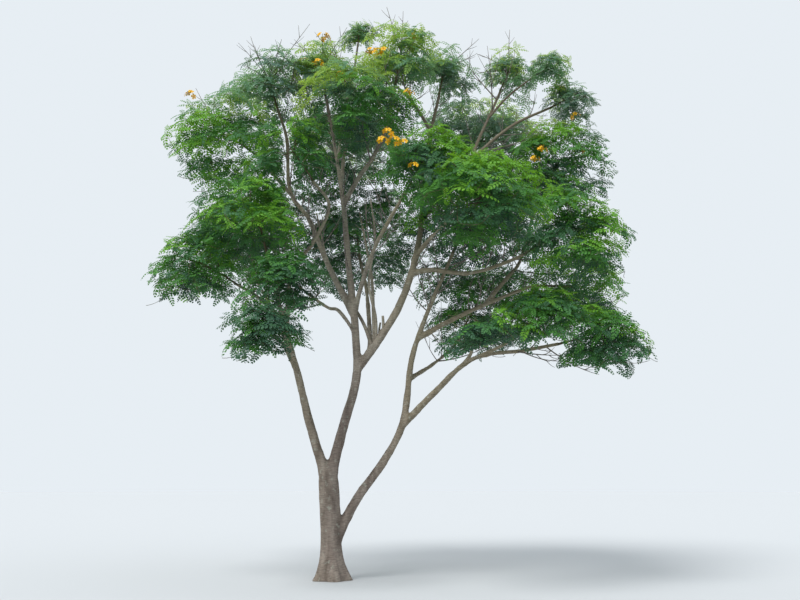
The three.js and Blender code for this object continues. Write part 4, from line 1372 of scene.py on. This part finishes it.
def leafMaterial(name, base, throughShare):
    material, tree, shader, output = newMaterial(name)
    texture = addNode(tree, "ShaderNodeTexCoord").outputs
    mottle = noiseAt(tree, texture["Object"], *leafLook["mottle"])
    spread = leafLook["spread"]
    low = tuple(c * (1 - spread) for c in base)
    high = (base[0] * (1 + leafLook["warmer"] * spread), base[1] * (1 + spread), base[2])
    colour = ramp(tree, mottle, leafLook["mottlePlaces"], (low, base, high))
    along = addNode(tree, "ShaderNodeSeparateXYZ", {0: texture["UV"]}).outputs["X"]
    seam = reckon(tree, "COSINE", reckon(tree, "MULTIPLY", along, 2 * math.pi * leafLook["leaflets"]))
    depth = mapped(tree, seam, leafLook["seamFrom"], (0, leafLook["seam"]))
    feed(tree, shader, {
        "Base Color": mixColour(tree, depth, colour, solid([c * leafLook["seamDark"] for c in base])),
        "Roughness": mapped(tree, mottle, to=leafLook["roughness"]),
        "Normal": bumped(tree, seam, *leafLook["bump"]), "Specular IOR Level": leafLook["specular"],
    })
    glow = solid([min(1, c * more) for c, more in zip(base, leafLook["through"])])
    through = addNode(tree, "ShaderNodeBsdfTranslucent", {"Color": glow}).outputs[0]
    mixed = addNode(tree, "ShaderNodeMixShader", {0: throughShare, 1: shader.outputs[0], 2: through})
    tree.links.new(mixed.outputs[0], output.inputs["Surface"])
    return material


# Petals, from the green foot to the yellow rim
petalLook = {
    "places": (0.08, 0.16, 0.32, 0.6),
    "colours": ((0.09, 0.16, 0.02), (0.5, 0.12, 0.01), (0.72, 0.28, 0.01), (0.76, 0.44, 0.012)),
    "mottle": (60, 2), "shadePlaces": (0.35, 0.6), "shades": ((0.86, 0.82, 0.8), (1.05, 1.05, 1.0)),
    "roughness": 0.6, "bump": (0.3, 0.001), "specular": 0.25,
}


def petalMaterial():
    material, tree, shader, _ = newMaterial("petals")
    texture = addNode(tree, "ShaderNodeTexCoord").outputs
    along = addNode(tree, "ShaderNodeSeparateXYZ", {0: texture["UV"]}).outputs["X"]
    mottle = noiseAt(tree, texture["Object"], *petalLook["mottle"])
    colour = ramp(tree, along, petalLook["places"], petalLook["colours"])
    shade = ramp(tree, mottle, petalLook["shadePlaces"], petalLook["shades"])
    feed(tree, shader, {
        "Base Color": mixColour(tree, 1.0, colour, shade, "MULTIPLY"), "Roughness": petalLook["roughness"],
        "Normal": bumped(tree, mottle, *petalLook["bump"]), "Specular IOR Level": petalLook["specular"],
    })
    return material


# Twigs: grain between a dark and a pale colour of each kind
twigLook = {
    "grain": (22, 4), "places": (0.35, 0.65), "roughness": (0.7, 0.92), "fine": (90, 3), "bump": (0.4, 0.002),
    "live": ((0.05, 0.045, 0.02), (0.16, 0.14, 0.07)), "dead": ((0.09, 0.075, 0.065), (0.26, 0.23, 0.2)),
}


def twigMaterial(name, colours):
    material, tree, shader, _ = newMaterial(name)
    place = addNode(tree, "ShaderNodeTexCoord").outputs["Object"]
    grain = noiseAt(tree, place, *twigLook["grain"])
    feed(tree, shader, {
        "Base Color": ramp(tree, grain, twigLook["places"], colours),
        "Roughness": mapped(tree, grain, to=twigLook["roughness"]),
        "Normal": bumped(tree, noiseAt(tree, place, *twigLook["fine"]), *twigLook["bump"]),
    })
    return material


# The camera stands where the photograph was taken from, under a bright sky
studio = {
    "cameraAt": (1.68, -15.0, 1.6), "pitch": 12.1, "yaw": 2.0, "lens": 38.4, "sensor": 36, "farthest": 400,
    "sky": (0.84, 0.9, 0.95), "skyStrength": 0.95,
    "sunStrength": 2.4, "sunSpread": 30, "sunTurn": (38, 0, -32),
    "floor": (0.56, 0.575, 0.585), "floorRoughness": 0.9, "floorRadius": 160, "floorSides": 96,
    "floorDrop": 0.001,
}


def makeCamera():
    camera = newObject("camera", bpy.data.cameras.new("camera"))
    camera.data.lens, camera.data.sensor_width = studio["lens"], studio["sensor"]
    camera.data.clip_end = studio["farthest"]
    camera.location = studio["cameraAt"]
    camera.rotation_euler = (math.radians(90 + studio["pitch"]), 0, math.radians(studio["yaw"]))
    bpy.context.scene.camera = camera


def makeStudio():
    world = bpy.data.worlds.new("studio")
    world.use_nodes = True
    background = world.node_tree.nodes["Background"]
    feed(world.node_tree, background, {"Color": solid(studio["sky"]), "Strength": studio["skyStrength"]})
    bpy.context.scene.world = world
    bpy.context.scene.view_settings.view_transform = "Standard"
    sun = newObject("sun", bpy.data.lights.new("sun", "SUN"))
    sun.data.energy, sun.data.angle = studio["sunStrength"], math.radians(studio["sunSpread"])
    sun.rotation_euler = [math.radians(angle) for angle in studio["sunTurn"]]
    form = bmesh.new()
    bmesh.ops.create_circle(form, cap_ends=True, segments=studio["floorSides"], radius=studio["floorRadius"])
    mesh = bpy.data.meshes.new("studio_floor")
    form.to_mesh(mesh)
    form.free()
    material, tree, shader, _ = newMaterial("floor")
    feed(tree, shader, {"Base Color": solid(studio["floor"]), "Roughness": studio["floorRoughness"]})
    mesh.materials.append(material)
    floor = newObject("studio_floor", mesh)
    floor.location = (0, 0, -studio["floorDrop"])


def handIn(piece, nodes):
    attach(piece, "root")
    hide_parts(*nodes)


makeCamera()
makeStudio()
print("camera, light and floor made")

grown = growLimbs()
twigs, rosettes, blossoms, bare = growCrown(grown)
print("grown:", len(twigs), "twigs,", len(rosettes), "rosettes,", len(blossoms), "heads of blossom")

barkPiece, thinEnds = makeBark(grown, barkMaterial("bark", 1.0))
print("bark made:", len(barkPiece.data.polygons), "faces")

# Thin wood: each piece's lines, the sides of its tubes, and its material
thinWood = {
    "young_boughs": (thinEnds + growForkStems(grown), 8, barkMaterial("young_bark", 1.25)),
    "twigs": (twigs, 3, twigMaterial("twig_bark", twigLook["live"])),
    "bare_twigs": (bare + growInnerTwigs(grown), 4, twigMaterial("dead_twig", twigLook["dead"])),
}
thinTree = twigTree()
woodPieces = {}
for name, (lines, sides, material) in thinWood.items():
    source = newObject(name + "_lines", linesMesh(name + "_lines", lines))
    addModifier(source, thinTree, {"Sides": sides, "Material": material})
    woodPieces[name] = plainPiece(name, source)
    print(name, "made:", len(woodPieces[name].data.polygons), "faces")

scatter = scatterTree()
random = seededRandom(leafShape["seed"])
leafShapes = shapeCollection("leaf_shapes", [
    featherLeaf("leaf_" + str(k), bend, turn, random)
    for k, (bend, turn) in enumerate(zip(leafShape["bends"], leafShape["turns"]))
])
dealt = dealLeaves(rosettes, grown)
leafPieces = {}
for name, spots in dealt.items():
    leafPieces[name] = scatterPiece(name, scatter, leafShapes, spots, leafMaterial(name, *leafColours[name]))
    triangles = sum(len(face.vertices) - 2 for face in leafPieces[name].data.polygons)
    print(name, "made:", len(spots), "leaves,", triangles, "triangles")
removeShapes(leafShapes)

random = seededRandom(flowerShape["seed"])
flowerShapes = shapeCollection("flower_shapes", [
    *(flowerMesh("flower_" + str(k), openness, random) for k, openness in enumerate(flowerShape["openness"])),
    budMesh("flower_" + str(len(flowerShape["openness"]))),
])
flowers = dealFlowers(blossoms)
blossomPiece = scatterPiece("blossom", scatter, flowerShapes, flowers, petalMaterial())
removeShapes(flowerShapes)
print("blossom made:", len(flowers), "flowers and buds")

foliage = [mass + "_foliage" for mass in masses]
handIn(barkPiece, ["bole", *limbs])
handIn(woodPieces["young_boughs"], [name for name in limbs if name.endswith("bough")])
handIn(woodPieces["twigs"], foliage)
handIn(woodPieces["bare_twigs"], [mass + "_foliage" for mass in bareTwigs["places"]])
for piece in leafPieces.values():
    handIn(piece, foliage)
handIn(blossomPiece, [mass + "_foliage" for mass in masses if masses[mass]["blossom"]])

bpy.context.view_layer.update()
